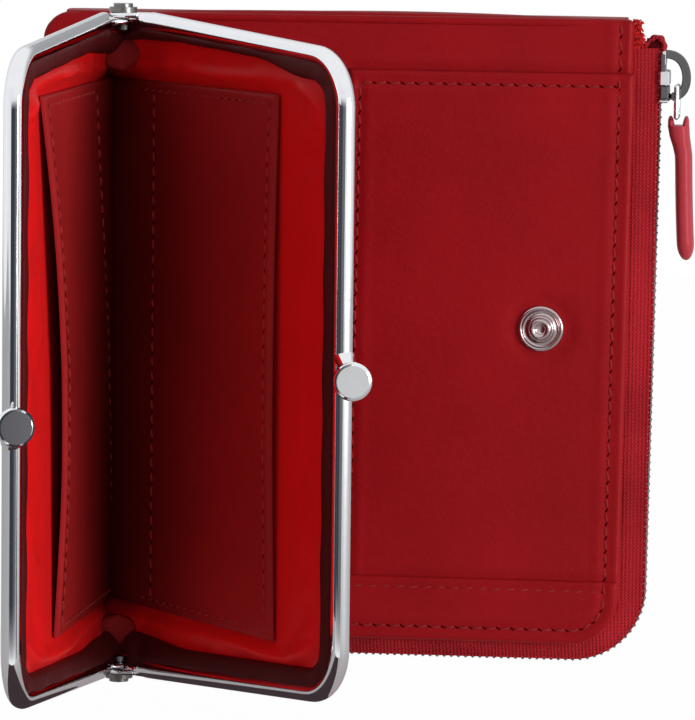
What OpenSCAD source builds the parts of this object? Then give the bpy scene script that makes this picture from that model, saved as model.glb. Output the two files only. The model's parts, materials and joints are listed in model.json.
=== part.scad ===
// Coin purse: a zip wallet section with a kiss-lock framed coin pouch folded off its left edge.
// Lengths are in millimetres. +Z runs up the spine, +X to the zip side and -Y out of the wallet's front.
// The origin is the centre of the wallet's flat back face. The pouch and its frame are drawn open.

/* [Wallet] */
// Width of the leather wallet section
wallet_w = 102; // [90:1:120]
// Height of the leather wallet section
wallet_h = 107.5; // [95:0.5:125]
// Thickness of the closed wallet section
wallet_t = 11; // [10:0.5:14]
// Radius of the wallet's corners
corner_r = 8; // [5:0.5:12]
// Thickness of one layer of leather
leather_t = 1.2; // [0.9:0.1:1.4]
// Thickness of the lining cloth and of the zip tape
cloth_t = 0.5; // [0.4:0.1:0.6]
// Thickness of the stiffening boards
board_t = 0.8; // [0.5:0.1:1]

/* [Front pockets and snap] */
// Distance from the wallet's left edge to the card pocket's left edge
pocket_left = 53.5; // [40:0.5:60]
// Height of the card pocket's top edge above the wallet's middle
pocket_top = 44.4; // [35:0.1:48]
// Height of the lower band's top edge above the wallet's middle
band_top = -42.9; // [-46:0.1:-38]
// Snap centre, measured right from the wallet's middle
snap_x = 35.9; // [30:0.1:40]
// Snap centre, measured up from the wallet's middle
snap_z = 0.5; // [-5:0.1:5]
// Diameter of the snap stud's flange
snap_d = 7.9; // [7:0.1:9]

/* [Zip] */
// Distance that the zip chain stands out from the leather edge
chain_out = 4.5; // [4:0.1:5.5]
// Thickness of the zip chain
chain_t = 1.1; // [0.9:0.1:1.4]
// Width of the closed zip chain
chain_w = 3.8; // [3:0.1:4.5]
// Length of the slider's body
slider_l = 9.1; // [8:0.1:10]
// Height of the slider's top end above the wallet's middle
slider_top = 48; // [44:0.5:48]
// Length of the leather pull
pull_l = 26; // [18:0.5:30]
// Width of the leather pull
pull_w = 6; // [5:0.5:8]
// Thickness of the leather pull
pull_t = 3; // [2.6:0.1:3.4]

/* [Pouch] */
// Angle from the wallet's face round to the open pouch's rear wall
pouch_open = 51.4; // [45:0.1:60]
// Length of the rear wall from the spine fold to the middle of its frame bar
wall_l = 99.1; // [96:0.1:101]
// Half height of the pouch walls
wall_half_h = 48; // [44:0.5:48.2]
// Distance from the spine fold to the frame hinge, along the rear wall
hinge_along = 37.55; // [35:0.05:40]
// Distance from the rear wall's middle layer in to the frame hinge
hinge_in = 5.1; // [4.8:0.1:6]
// Half height of the inner slip pockets
slip_half_h = 44; // [38:0.5:45]

/* [Frame] */
// Outside width of the frame's channel
tube_d = 3.2; // [3:0.1:3.4]
// Wall thickness of the frame's channel
tube_wall = 0.45; // [0.35:0.05:0.55]
// Width of the slot along the inside of the channel
slot_w = 0.9; // [0.8:0.1:1]
// Distance from the hinge to the middle of a frame bar
arm_l = 61.8; // [60:0.1:63]
// Half height of a frame at its bar, to the middle of the channel
bar_half_h = 50.2; // [49.8:0.1:51]
// Half height of a frame at its hinge, to the middle of the channel
hinge_half_h = 54.2; // [53.8:0.1:55]
// Bend radius of a frame corner, to the middle of the channel
bend_r = 8; // [6:0.5:10]
// Angle between the two halves of the open frame
frame_open = 47; // [30:0.5:60]
// Diameter of a lock disc
lock_d = 6.2; // [5.6:0.1:6.3]
// Thickness of a lock disc
lock_t = 1.7; // [1.4:0.1:2]
// Distance from the bar's middle out to a lock disc
lock_out = 4.9; // [4.5:0.1:5.5]
// Height of the rear lock disc above the frame's middle
rear_lock_z = 0.5; // [0:0.1:1]
// Height of the front lock disc above the frame's middle
front_lock_z = -6; // [-6.5:0.1:-6]

/* [Hidden] */
$fn = 48;
eps = 0.01;
gap = 0.1;
half_w = wallet_w / 2;
half_h = wallet_h / 2;
front_y = -wallet_t;
panel_y = front_y + leather_t;
inner_y = panel_y + leather_t;
bind_w = 2.5;
board_inset = 8;
chain_y = front_y / 2 + 0.3;
tape_t = cloth_t;
tape_in = 5;
coil_in = chain_out - chain_t;
chain_half = chain_w / 2;
tape_top = half_h - 2;
coil_top = slider_top + 1;
fold_y = -14.2;
fold_inset = 0.5;
fold_strip_w = 6;
socket_along = snap_x + half_w - fold_inset;
slot_clear = 0.2;
tube_r = tube_d / 2;
half_gap = 0.05;
bar_v = tube_r + half_gap;
splay = atan((hinge_half_h - bar_half_h) / arm_l);
wall_tilt = atan(hinge_in / (wall_l - hinge_along)) - atan(bar_v / arm_l);
tab_t = 0.9;
tab_r = 2.2;
tab_clear = 0.1;
arm_start = 3.6;
bend_steps = 16;
rivet_r = 1;
run_clear = 0.05;
lock_hole_r = 0.75;
lock_tenon_r = 0.7;
lock_stalk_r = 1;
lock_stalk_z = 3;
wall_t = leather_t + cloth_t;
wall_start = 1;
wall_end = wall_l - tube_r - slot_clear;
wall_corner_r = 6;
front_wall_start = 43.5;
slip_start = 38;
slip_end = 80;
slip_t = 1;
slip_corner_r = 1.5;
gusset_t = 1;
lower_start = [3.5, -2.9];
lower_end = [31, -9.3];
lower_angle = atan((lower_end[1] - lower_start[1]) / (lower_end[0] - lower_start[0]));
lower_l = norm(lower_end - lower_start);
socket_r = 2.1;
nub_r = 1.7;
rivet_hole_r = 1.25;
post_r = 1;
clench_r = 2.5;
clench_hole_r = 2.75;
link_wire_r = 0.45;
link_half_w = 2.05;
link_l = 5.1;
link_x = half_w + 7.2;
link_z = slider_top - 6;
pull_over = 1.4;
SILVER = "silver";
DARK_METAL = "dimgray";
LEATHER = [0.6, 0.1, 0.14];
DARK_LEATHER = [0.35, 0.04, 0.07];
LINING = [0.85, 0.1, 0.12];
TAPE = [0.65, 0.07, 0.14];

// ---- shared shapes ----

// A flat sheet in the wallet's plane, its outline drawn as [x, z] and its front face at y.
module sheet(y, thickness) {
  translate([0, y + thickness, 0]) rotate([90, 0, 0]) linear_extrude(thickness) children();
}

// The wallet outline, pulled in by inset all round. Only the zip's top end has a square corner.
module wallet_outline(inset = 0) {
  r = corner_r - min(inset, corner_r / 2);
  x = half_w - inset - r;
  z = half_h - inset - r;
  square([2 * x, 2 * (z + r)], center = true);
  square([2 * (x + r), 2 * z], center = true);
  for (sx = [-1, 1], sz = [-1, 1]) translate([sx * x, sz * z]) circle(r);
  translate([x, z]) square([r, r]);
}

// Sweeps a profile down the right edge, round the lower corner and along the bottom edge.
// The profile's first coordinate is the distance out from the leather edge, the second is y.
module edge_sweep(top = half_h) {
  x = half_w - corner_r;
  z = half_h - corner_r;
  translate([half_w, 0, -z]) linear_extrude(top + z) children();
  translate([x, 0, -z]) rotate([90, 0, 0]) mirror([0, 1, 0])
    rotate_extrude(angle = 90) translate([corner_r, 0]) mirror([0, 1]) children();
  translate([x, 0, -half_h]) rotate([0, -90, 0]) linear_extrude(x + half_w - leather_t)
    mirror([1, 0]) children();
}

// A round rod between two points.
module rod(from, to, r) {
  d = to - from;
  translate(from) rotate([0, acos(d[2] / norm(d)), atan2(d[1], d[0])]) cylinder(h = norm(d), r = r);
}

// Local frames: the pouch lies along +X from the spine fold, its outside facing +Y.
module pouch_place() {
  translate([-half_w + fold_inset, fold_y, 0]) rotate([0, 0, -pouch_open]) children();
}

// A frame half lies along +X from the hinge axis. Its own side of the hinge plane is +Y.
module rear_frame_place() {
  pouch_place() translate([hinge_along, -hinge_in, 0]) rotate([0, 0, wall_tilt]) children();
}

module front_frame_place() {
  pouch_place() translate([hinge_along, -hinge_in, 0])
    rotate([0, 0, wall_tilt - frame_open]) mirror([0, 1, 0]) children();
}

// The front wall mirrors the rear wall, and moves with the front frame half.
module front_wall_place() {
  front_frame_place() translate([arm_l, bar_v, 0]) rotate([0, 0, -wall_tilt])
    translate([-wall_l, 0, 0]) children();
}

// A wall layer from one distance to another, with its outer face at y and its far corners rounded.
module wall_layer(from, to, y, thickness, half_height, r = wall_corner_r) {
  translate([0, y, 0]) rotate([90, 0, 0]) linear_extrude(thickness) {
    translate([from, -half_height]) square([to - from - r, 2 * half_height]);
    translate([to - r - eps, r - half_height]) square([r + eps, 2 * (half_height - r)]);
    for (s = [-1, 1]) translate([to - r, s * (half_height - r)]) circle(r);
  }
}

// ---- wallet ----

module back_cover() {
  color(LEATHER) sheet(-leather_t, leather_t) wallet_outline();
}

module back_board() {
  color("saddlebrown") sheet(-leather_t - board_t, board_t) wallet_outline(board_inset);
}

module back_lining() {
  color(LINING) sheet(-leather_t - board_t - cloth_t, cloth_t) wallet_outline(board_inset);
}

module front_panel() {
  color(LEATHER) difference() {
    sheet(panel_y, leather_t) wallet_outline(bind_w);
    snap_hole();
  }
}

module front_board() {
  color("saddlebrown") difference() {
    sheet(inner_y, board_t) wallet_outline(board_inset);
    snap_hole(clench_hole_r);
  }
}

module front_lining() {
  color(LINING) difference() {
    sheet(inner_y + board_t, cloth_t) wallet_outline(board_inset);
    snap_hole(clench_hole_r);
  }
}

// The slip pocket patch that faces the pouch, sewn on three sides under the lower band's edge.
module card_pocket() {
  left = -half_w + pocket_left;
  color(LEATHER) difference() {
    sheet(front_y, leather_t) translate([left, band_top + gap])
      square([half_w - bind_w - left, pocket_top - band_top - gap]);
    snap_hole();
  }
}

module lower_band() {
  color(LEATHER) sheet(front_y, leather_t) intersection() {
    wallet_outline(bind_w);
    translate([-half_w, -half_h]) square([wallet_w, half_h + band_top]);
  }
}

// The turned leather edge along the zip side and the bottom.
module edge_binding() {
  color(LEATHER) edge_sweep() {
    translate([-bind_w + eps, panel_y]) square([bind_w - eps, leather_t]);
    translate([-bind_w + eps, front_y]) square([bind_w - leather_t, leather_t + eps]);
    translate([-leather_t, panel_y]) circle(leather_t);
  }
}

module spine_strip() {
  color(LEATHER) translate([-half_w, panel_y, -half_h + corner_r])
    cube([leather_t, wallet_t - 2 * leather_t, wallet_h - 2 * corner_r]);
}

module top_strip() {
  color(LEATHER) translate([-half_w + corner_r, inner_y, half_h - leather_t])
    cube([wallet_w - 2 * corner_r, wallet_t - 3 * leather_t, leather_t]);
}

// The strip at the left edge that carries the pouch's fold.
module fold_strip() {
  color(LEATHER) translate([-half_w, panel_y - 2 * leather_t, -wall_half_h])
    cube([fold_strip_w, leather_t, 2 * wall_half_h]);
}

module snap_hole(r = rivet_hole_r) {
  translate([snap_x, front_y - 1, snap_z]) rotate([-90, 0, 0]) cylinder(h = 6, r = r);
}

// The snap's stud: a stepped flange with a raised nub.
module snap_stud() {
  flange_t = 0.7;
  boss_t = 1.1;
  boss_r = nub_r + 1;
  nub_h = 2;
  dimple = 0.5;
  color(SILVER) translate([snap_x, front_y, snap_z]) rotate([90, 0, 0]) difference() {
    union() {
      cylinder(h = flange_t, r = snap_d / 2);
      cylinder(h = boss_t, r = boss_r);
      cylinder(h = nub_h, r = nub_r);
    }
    translate([0, 0, nub_h - dimple]) cylinder(h = 2 * dimple, r = nub_r - 0.6);
    translate([0, 0, -eps]) cylinder(h = 0.5, r = post_r + run_clear);
  }
}

// The rivet post that clenches the stud through the leather.
module snap_post() {
  clench_t = 0.6;
  color(SILVER) translate([snap_x, inner_y, snap_z]) rotate([90, 0, 0]) {
    translate([0, 0, -clench_t]) cylinder(h = clench_t - eps, r = clench_r);
    translate([0, 0, -eps]) cylinder(h = 2 * leather_t + 0.4, r = post_r);
  }
}

// ---- zip ----

module zip_tape_back() {
  color(TAPE) edge_sweep(tape_top) polygon([
    [-tape_in, -leather_t], [0, -leather_t], [coil_in, chain_y + chain_half - 0.2],
    [coil_in, chain_y + gap], [coil_in - tape_t, chain_y + gap],
    [coil_in - tape_t, chain_y + chain_half - 0.5], [-0.2, -leather_t - tape_t],
    [-tape_in, -leather_t - tape_t]]);
}

module zip_tape_front() {
  color(TAPE) edge_sweep(tape_top) polygon([
    [-tape_in, inner_y], [0, inner_y], [coil_in, chain_y - chain_half + 0.2],
    [coil_in, chain_y - gap], [coil_in - tape_t, chain_y - gap],
    [coil_in - tape_t, chain_y - chain_half + 0.5], [-0.2, inner_y + tape_t],
    [-tape_in, inner_y + tape_t]]);
}

// One row of the coil, as a bead along the edge of its tape.
module coil_profile() {
  bead_r = chain_t / 2 - eps;
  translate([coil_in + eps, half_gap]) square([2 * bead_r, chain_half - bead_r - half_gap]);
  translate([coil_in + eps + bead_r, chain_half - bead_r]) circle(bead_r);
}

module zip_coil_back() {
  color(SILVER) edge_sweep(coil_top) translate([0, chain_y]) coil_profile();
}

module zip_coil_front() {
  color(SILVER) edge_sweep(coil_top) translate([0, chain_y]) mirror([0, 1]) coil_profile();
}

// The two top stops, one clenched on the end of each tape.
module zip_stops() {
  stop_w = 1.6;
  stop_h = 2;
  side = stop_w * 0.75;
  color(SILVER) for (s = [-1, 1])
    translate([half_w + coil_in + half_gap, chain_y + s * side - stop_w / 2, coil_top + 0.2])
      cube([chain_t - half_gap, stop_w, stop_h]);
}

// The slider: a plate over the chain, hooked flanges along both sides and a bridge for the pull.
module zip_slider() {
  plate_x = half_w + chain_out + gap;
  plate_t = 1.3;
  plate_half = chain_half + 0.9;
  flange_t = 0.6;
  flange_h = 1.1;
  bridge_w = 1.6;
  bridge_r = 4.3;
  bridge_t = 1;
  bridge_flat = 0.8;
  color(SILVER) translate([plate_x, chain_y, slider_top - slider_l]) {
    translate([0, -plate_half, 0]) cube([plate_t, 2 * plate_half, slider_l]);
    for (s = [0, 1]) mirror([0, s, 0])
      translate([-flange_h, plate_half - flange_t, 0]) cube([flange_h + eps, flange_t, slider_l]);
    translate([plate_t - 0.2, bridge_w / 2, slider_l / 2]) rotate([90, 0, 0]) linear_extrude(bridge_w)
      intersection() {
        difference() {
          translate([-bridge_flat, 0]) circle(bridge_r);
          translate([-bridge_flat, 0]) circle(bridge_r - bridge_t);
        }
        translate([0, -bridge_r * 2]) square([bridge_r * 2, bridge_r * 4]);
      }
  }
}

// The wire link between the slider's bridge and the pull.
module zip_link() {
  color(SILVER) translate([link_x, chain_y, link_z]) {
    for (z = [0, -link_l]) rod([0, -link_half_w, z], [0, link_half_w, z], link_wire_r);
    for (s = [-1, 1]) {
      rod([0, s * link_half_w, -link_l], [0, s * link_half_w, 0], link_wire_r);
      for (z = [0, -link_l]) translate([0, s * link_half_w, z]) sphere(link_wire_r);
    }
  }
}

// The leather pull: a narrow neck bored for the link, and a tongue with a round end.
module zip_pull() {
  neck_w = 2.8;
  bore_r = link_wire_r + run_clear;
  shoulder = 1;
  tongue_l = pull_l - pull_over - shoulder - pull_w / 2;
  color(LEATHER) translate([link_x, chain_y, link_z - link_l]) difference() {
    union() {
      translate([-pull_t / 2, -neck_w / 2, -shoulder - eps])
        cube([pull_t, neck_w, pull_over + shoulder - pull_t / 2 + 2 * eps]);
      translate([-pull_t / 2, 0, -shoulder]) rotate([0, 90, 0]) linear_extrude(pull_t) {
        translate([0, -pull_w / 2]) square([tongue_l, pull_w]);
        translate([tongue_l, 0]) circle(pull_w / 2);
      }
      translate([0, neck_w / 2, pull_over - pull_t / 2]) rotate([90, 0, 0]) cylinder(h = neck_w, r = pull_t / 2);
    }
    translate([0, pull_w / 2, 0]) rotate([90, 0, 0]) cylinder(h = pull_w, r = bore_r);
  }
}

// ---- pouch ----

module rear_wall() {
  color(LEATHER) pouch_place() difference() {
    wall_layer(wall_start, wall_end, wall_t / 2, leather_t, wall_half_h);
    translate([socket_along, 0, snap_z]) rotate([-90, 0, 0])
      translate([0, 0, -wall_t]) cylinder(h = 2 * wall_t, r = rivet_hole_r);
  }
}

module rear_lining() {
  color(LINING) pouch_place() difference() {
    wall_layer(wall_start, wall_end, wall_t / 2 - leather_t, cloth_t, wall_half_h);
    translate([socket_along, 0, snap_z]) rotate([-90, 0, 0])
      translate([0, 0, -wall_t]) cylinder(h = 2 * wall_t, r = clench_hole_r);
  }
}

// The slip pocket on the rear wall. Its mouth faces the frame bar.
module rear_slip_pocket() {
  color(DARK_LEATHER) pouch_place()
    wall_layer(slip_start, slip_end, -wall_t / 2, slip_t, slip_half_h, slip_corner_r);
}

// The snap's socket, on the outside of the rear wall where it meets the stud.
module snap_socket() {
  proud = 1.2;
  clench_t = 0.44;
  color(SILVER) pouch_place() translate([socket_along, 0, snap_z]) rotate([-90, 0, 0]) {
    difference() {
      translate([0, 0, wall_t / 2]) cylinder(h = proud, r = snap_d / 2 - 0.4);
      translate([0, 0, wall_t / 2 + 0.1]) cylinder(h = proud, r = socket_r);
    }
    translate([0, 0, -wall_t / 2]) cylinder(h = wall_t + 0.05, r = post_r);
    translate([0, 0, wall_t / 2 - leather_t - clench_t - eps]) cylinder(h = clench_t, r = clench_r);
  }
}

module lower_place() {
  pouch_place() translate([lower_start[0], lower_start[1], 0]) rotate([0, 0, lower_angle])
    translate([0, 0, -wall_half_h]) children();
}

module lower_front_wall() {
  color(LEATHER) lower_place() translate([0, -wall_t / 2, 0])
    cube([lower_l, leather_t, 2 * wall_half_h]);
}

module lower_front_lining() {
  color(LINING) lower_place() translate([0, wall_t / 2 - cloth_t, 0])
    cube([lower_l, cloth_t, 2 * wall_half_h]);
}

module bag_bottom() {
  bottom_t = 2;
  bottom_out = 3.9;
  bottom_in = 1;
  color(DARK_LEATHER) pouch_place() translate([wall_start, -bottom_out, -wall_half_h])
    cube([bottom_t, bottom_out - bottom_in, 2 * wall_half_h]);
}

// A gusset closes the end of the bag between its rear wall and its lower front wall.
module gusset() {
  inner = wall_t / 2 + gap;
  far = lower_end[0] - 1;
  near = lower_start + [0.8, inner + 0.2];
  color(LINING) pouch_place() linear_extrude(gusset_t)
    polygon([[wall_start + 3, -inner], [far, -inner], [far, lower_end[1] + inner + 0.4], near]);
}

module gusset_top() {
  translate([0, 0, wall_half_h - gusset_t]) gusset();
}

module gusset_bottom() {
  translate([0, 0, -wall_half_h]) gusset();
}

// ---- frame ----

// The upper half of a frame's outline, [distance from the hinge, height], grown by grow from
// the middle of the channel. It starts at the distance tip from the hinge and ends on the bar.
function half_outline(grow, tip) =
  let (centre = [arm_l - bend_r, bar_half_h - bend_r * tan((90 - splay) / 2)],
       r = bend_r + grow,
       top = centre + r * [sin(splay), cos(splay)])
  concat([[tip, top[1] + (top[0] - tip) * tan(splay)]],
         [for (i = [0:bend_steps]) let (a = (90 - splay) * (1 - i / bend_steps))
           centre + r * [cos(a), sin(a)]]);

module frame_outline(grow, tip) {
  upper = half_outline(grow, tip);
  n = len(upper);
  polygon(concat(upper, [for (i = [1:n]) [upper[n - i][0], -upper[n - i][1]]]));
}

// A bent bar that follows the frame between two offsets of its outline.
module frame_band(outer, inner, tip, thickness) {
  translate([0, bar_v + thickness / 2, 0]) rotate([90, 0, 0]) linear_extrude(thickness)
    difference() {
      frame_outline(outer, tip);
      frame_outline(inner, tip - 1);
    }
}

// A frame half: a bent channel, slotted on the side that grips the bag, with a solid tip on
// each arm, hinge tabs at the height tab_z and a hole for its lock at hole_z.
module frame_half(tab_z, hole_z) {
  tip_l = 2.4;
  bore_r = tube_r - tube_wall;
  difference() {
    union() {
      frame_band(tube_r, -tube_r, arm_start, tube_d);
      for (s = [0, 1]) mirror([0, 0, s]) {
        translate([0, 0, tab_z]) cylinder(h = tab_t, r = tab_r);
        translate([0, 0, tab_z]) cube([arm_start + tip_l / 2, bar_v + 0.3, tab_t]);
      }
    }
    frame_band(bore_r, -bore_r, arm_start + tip_l, 2 * bore_r);
    frame_band(0, -2 * tube_r, arm_start + tip_l, slot_w);
    for (s = [0, 1]) mirror([0, 0, s])
      translate([0, 0, tab_z - 1]) cylinder(h = tab_t + 2, r = rivet_r + run_clear);
    translate([arm_l, bar_v, hole_z]) rotate([0, 90, 0]) cylinder(h = tube_d, r = lock_hole_r);
  }
}

module rear_frame() {
  color(SILVER) rear_frame_place() frame_half(hinge_half_h + tab_clear, rear_lock_z + lock_stalk_z);
}

module front_frame() {
  color(SILVER) front_frame_place()
    frame_half(hinge_half_h - tab_t - tab_clear, front_lock_z - lock_stalk_z);
}

// The paper cord that holds the bag's edge in the channel: one length in the bar, one in each arm.
module cord() {
  cord_r = 0.6;
  short = 6;
  bar_end = bar_half_h - bend_r - short;
  near = arm_start + short;
  far = arm_l - 2 * short;
  rod([arm_l, bar_v, -bar_end], [arm_l, bar_v, bar_end], cord_r);
  for (s = [-1, 1])
    rod([near, bar_v, s * (hinge_half_h - near * tan(splay))],
        [far, bar_v, s * (hinge_half_h - far * tan(splay))], cord_r);
}

module rear_cord() {
  color("tan") rear_frame_place() cord();
}

module front_cord() {
  color("tan") front_frame_place() cord();
}

// A lock: a flat round head on a leaning stalk, its tenon through the bar's outer wall.
module lock(disc_z, root_z) {
  lean = 30;
  inward = 1.6;
  rim_r = 0.5;
  head = [arm_l + lock_out, bar_v - inward, disc_z];
  root = [arm_l + tube_r + lock_stalk_r + 2 * eps, bar_v, root_z];
  rod([arm_l + 1, bar_v, root_z], root, lock_tenon_r);
  rod(root, head, lock_stalk_r);
  translate(root) sphere(lock_stalk_r);
  translate(head) rotate([0, 0, -lean]) rotate([0, 90, 0]) rotate_extrude() {
    square([lock_d / 2 - rim_r, lock_t]);
    translate([0, rim_r]) square([lock_d / 2, lock_t - 2 * rim_r]);
    for (y = [rim_r, lock_t - rim_r]) translate([lock_d / 2 - rim_r, y]) circle(rim_r);
  }
}

module rear_lock() {
  color(SILVER) rear_frame_place() lock(rear_lock_z, rear_lock_z + lock_stalk_z);
}

module front_lock() {
  color(SILVER) front_frame_place() lock(front_lock_z, front_lock_z - lock_stalk_z);
}

// The two hinge rivets. Each has a domed outer head and a clenched inner end.
module hinge_rivets() {
  head_r = 2.3;
  head_t = 0.8;
  dome_t = 1.4;
  clench_t = 0.8;
  clench_r = 1.5;
  top_z = hinge_half_h + tab_clear + tab_t;
  low_z = hinge_half_h - tab_t - tab_clear;
  color(DARK_METAL) pouch_place() translate([hinge_along, -hinge_in, 0])
    for (s = [0, 1]) mirror([0, 0, s]) {
      translate([0, 0, top_z]) cylinder(h = head_t, r = head_r);
      translate([0, 0, top_z]) cylinder(h = dome_t, r = head_r - 0.7);
      translate([0, 0, low_z - clench_t]) cylinder(h = top_z - low_z + 0.9, r = rivet_r);
      translate([0, 0, low_z - clench_t - tab_clear]) cylinder(h = 0.7, r = clench_r);
    }
}

// ---- front wall, on the front frame half ----

module front_wall() {
  color(LEATHER) front_wall_place()
    wall_layer(front_wall_start, wall_end, wall_t / 2, leather_t, wall_half_h);
}

module front_wall_lining() {
  color(LINING) front_wall_place()
    wall_layer(front_wall_start, wall_end, wall_t / 2 - leather_t, cloth_t, wall_half_h);
}

module front_slip_pocket() {
  color(DARK_LEATHER) front_wall_place()
    wall_layer(front_wall_start + 1, slip_end, -wall_t / 2, slip_t, slip_half_h, slip_corner_r);
}

back_cover();
back_board();
back_lining();
front_panel();
front_board();
front_lining();
card_pocket();
lower_band();
edge_binding();
spine_strip();
top_strip();
fold_strip();
snap_stud();
snap_post();
zip_tape_back();
zip_tape_front();
zip_coil_back();
zip_coil_front();
zip_stops();
zip_slider();
zip_link();
zip_pull();
rear_wall();
rear_lining();
rear_slip_pocket();
snap_socket();
lower_front_wall();
lower_front_lining();
bag_bottom();
gusset_top();
gusset_bottom();
rear_frame();
rear_cord();
rear_lock();
hinge_rivets();
front_wall();
front_wall_lining();
front_slip_pocket();
front_frame();
front_cord();
front_lock();
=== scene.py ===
"""Looks for the coin purse: leather, satin, zip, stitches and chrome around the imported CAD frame."""
import json
import random
from math import atan, copysign, cos, degrees, exp, pi, radians, sin, sqrt, tan

import bpy
import numpy as np
from mathutils import Matrix, Vector


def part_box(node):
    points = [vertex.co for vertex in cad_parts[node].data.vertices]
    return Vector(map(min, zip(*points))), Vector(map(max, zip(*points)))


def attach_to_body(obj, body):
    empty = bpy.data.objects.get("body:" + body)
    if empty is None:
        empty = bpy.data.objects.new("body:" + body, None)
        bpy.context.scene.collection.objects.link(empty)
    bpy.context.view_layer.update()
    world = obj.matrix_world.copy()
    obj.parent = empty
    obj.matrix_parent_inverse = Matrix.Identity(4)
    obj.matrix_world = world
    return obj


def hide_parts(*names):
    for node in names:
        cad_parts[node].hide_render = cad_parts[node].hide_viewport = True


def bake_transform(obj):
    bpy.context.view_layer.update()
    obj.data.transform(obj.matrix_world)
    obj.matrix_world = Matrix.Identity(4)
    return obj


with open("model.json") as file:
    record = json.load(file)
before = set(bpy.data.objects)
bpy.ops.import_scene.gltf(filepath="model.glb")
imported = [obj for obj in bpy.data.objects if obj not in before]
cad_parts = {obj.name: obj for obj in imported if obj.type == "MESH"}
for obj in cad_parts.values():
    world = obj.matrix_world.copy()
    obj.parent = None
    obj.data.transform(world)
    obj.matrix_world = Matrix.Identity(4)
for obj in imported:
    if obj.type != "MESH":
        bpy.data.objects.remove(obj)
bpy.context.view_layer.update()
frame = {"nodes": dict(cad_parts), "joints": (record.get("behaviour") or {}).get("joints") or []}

MM = 0.001
rng = random.Random(7)

# ---- driving dimensions, in millimetres and degrees, as the CAD has them ----

JOINTS = {j["name"]: j for j in frame["joints"]}
SPINE = np.array(JOINTS["pouch_fold"]["pos_m"]) / MM
POUCH_OPEN = 51.4
FRAME_OPEN = 47.0
WALL_L = 99.1
HINGE_ALONG = 37.55
HINGE_IN = 5.1
ARM_L = 61.8
TUBE_R = 1.6
BAR_V = 1.65
BAR_Z = 50.2
PIVOT_Z = 54.2
SPLAY = atan((PIVOT_Z - BAR_Z) / ARM_L)
WALL_TILT = degrees(atan(HINGE_IN / (WALL_L - HINGE_ALONG)) - atan(BAR_V / ARM_L))
BEND_R = 8.0
BEND = radians(90) - SPLAY
BEND_U = ARM_L - BEND_R
BEND_Z = BAR_Z - BEND_R * tan(BEND / 2)
HALF_W = 51.0
HALF_H = 53.75
CORNER_R = 8.0
CORNER = (HALF_W - CORNER_R, -HALF_H + CORNER_R)
FRONT_Y = -11.0
LEATHER_T = 1.2
PANEL_Y = FRONT_Y + LEATHER_T
STITCH = 2.4
THREAD_L = 1.75
THREAD_W = 0.36
THREAD_SLANT = 9.0
HOLE_L = 0.90
HOLE_W = 0.32
HOLE_SLANT = radians(32)
TOWARDS_VIEW = (0, -1, 0)


def box_mm(node):
    low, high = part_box(node)
    return np.array(low) / MM, np.array(high) / MM


def turn(angle, x, y):
    a = radians(angle)
    return x * cos(a) - y * sin(a), x * sin(a) + y * cos(a)


def pouch_xy(x, y):
    """Pouch coordinates: x along the rear wall from the spine, y out towards the wallet."""
    dx, dy = turn(-POUCH_OPEN, x, y)
    return SPINE[0] + dx, SPINE[1] + dy


def rear_frame_xy(u, v):
    dx, dy = turn(WALL_TILT, u, v)
    return pouch_xy(HINGE_ALONG + dx, dy - HINGE_IN)


def front_frame_xy(u, v):
    dx, dy = turn(WALL_TILT - FRAME_OPEN, u, -v)
    return pouch_xy(HINGE_ALONG + dx, dy - HINGE_IN)


def front_wall_xy(x, y):
    """The front wall in the rear wall's own coordinates, mirrored and carried by the front frame."""
    dx, dy = turn(-WALL_TILT, x - WALL_L, y)
    return front_frame_xy(ARM_L + dx, BAR_V + dy)


def frame_z(u):
    """Half height of the middle of the frame channel at the distance u from the hinge."""
    if u < BEND_U + BEND_R * sin(SPLAY):
        return PIVOT_Z - u * tan(SPLAY)
    return BEND_Z + sqrt(max(0.0, BEND_R ** 2 - (u - BEND_U) ** 2))


# ---- mesh helpers ----

def ease(t):
    """A smooth step from 0 to 1."""
    t = min(1.0, max(0.0, t))
    return t * t * (3 - 2 * t)


def unit(vectors):
    return vectors / np.linalg.norm(vectors, axis=-1, keepdims=True)


def run_length(points):
    """Distance along a polyline at each of its points."""
    return np.concatenate([[0], np.cumsum(np.linalg.norm(np.diff(points, axis=0), axis=1))])


def points_at(at, length, points):
    return np.stack([np.interp(at, length, column) for column in np.asarray(points).T], axis=1)


def make(name, verts, faces, material, smooth=True, sharp=None):
    mesh = bpy.data.meshes.new(name)
    mesh.from_pydata([tuple(float(c) * MM for c in v) for v in verts], [], faces)
    mesh.validate()
    mesh.polygons.foreach_set("use_smooth", [smooth] * len(mesh.polygons))
    if sharp is not None:
        mesh.set_sharp_from_angle(angle=radians(sharp))
    mesh.materials.append(material)
    mesh.update()
    obj = bpy.data.objects.new(name, mesh)
    bpy.context.scene.collection.objects.link(obj)
    return obj


def attach(obj, body, slot, *nodes):
    """Lets a piece ride one body (given two bodies, it only bakes the piece's place) and stand in for CAD
    nodes.
    """
    if isinstance(body, tuple):
        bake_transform(obj)
    else:
        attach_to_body(obj, body)
    if nodes:
        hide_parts(*nodes)


def add_piece(name, shape, mat, body, slot, *nodes, sharp=None):
    attach(make(name, *shape, mat, sharp=sharp), body, slot, *nodes)


def grid_faces(n, m, start=0, flip=False, wrap=False):
    faces = []
    for i in range(n - 1):
        for j in range(m if wrap else m - 1):
            a = start + i * m + j
            b = start + i * m + (j + 1) % m
            quad = (a, b, b + m, a + m)
            faces.append(quad[::-1] if flip else quad)
    return faces


def capped(n, m):
    """Faces of n rings of m points, closed by one face at each end."""
    return grid_faces(n, m, wrap=True) + [tuple(range(m))[::-1], tuple(range((n - 1) * m, n * m))]


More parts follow.
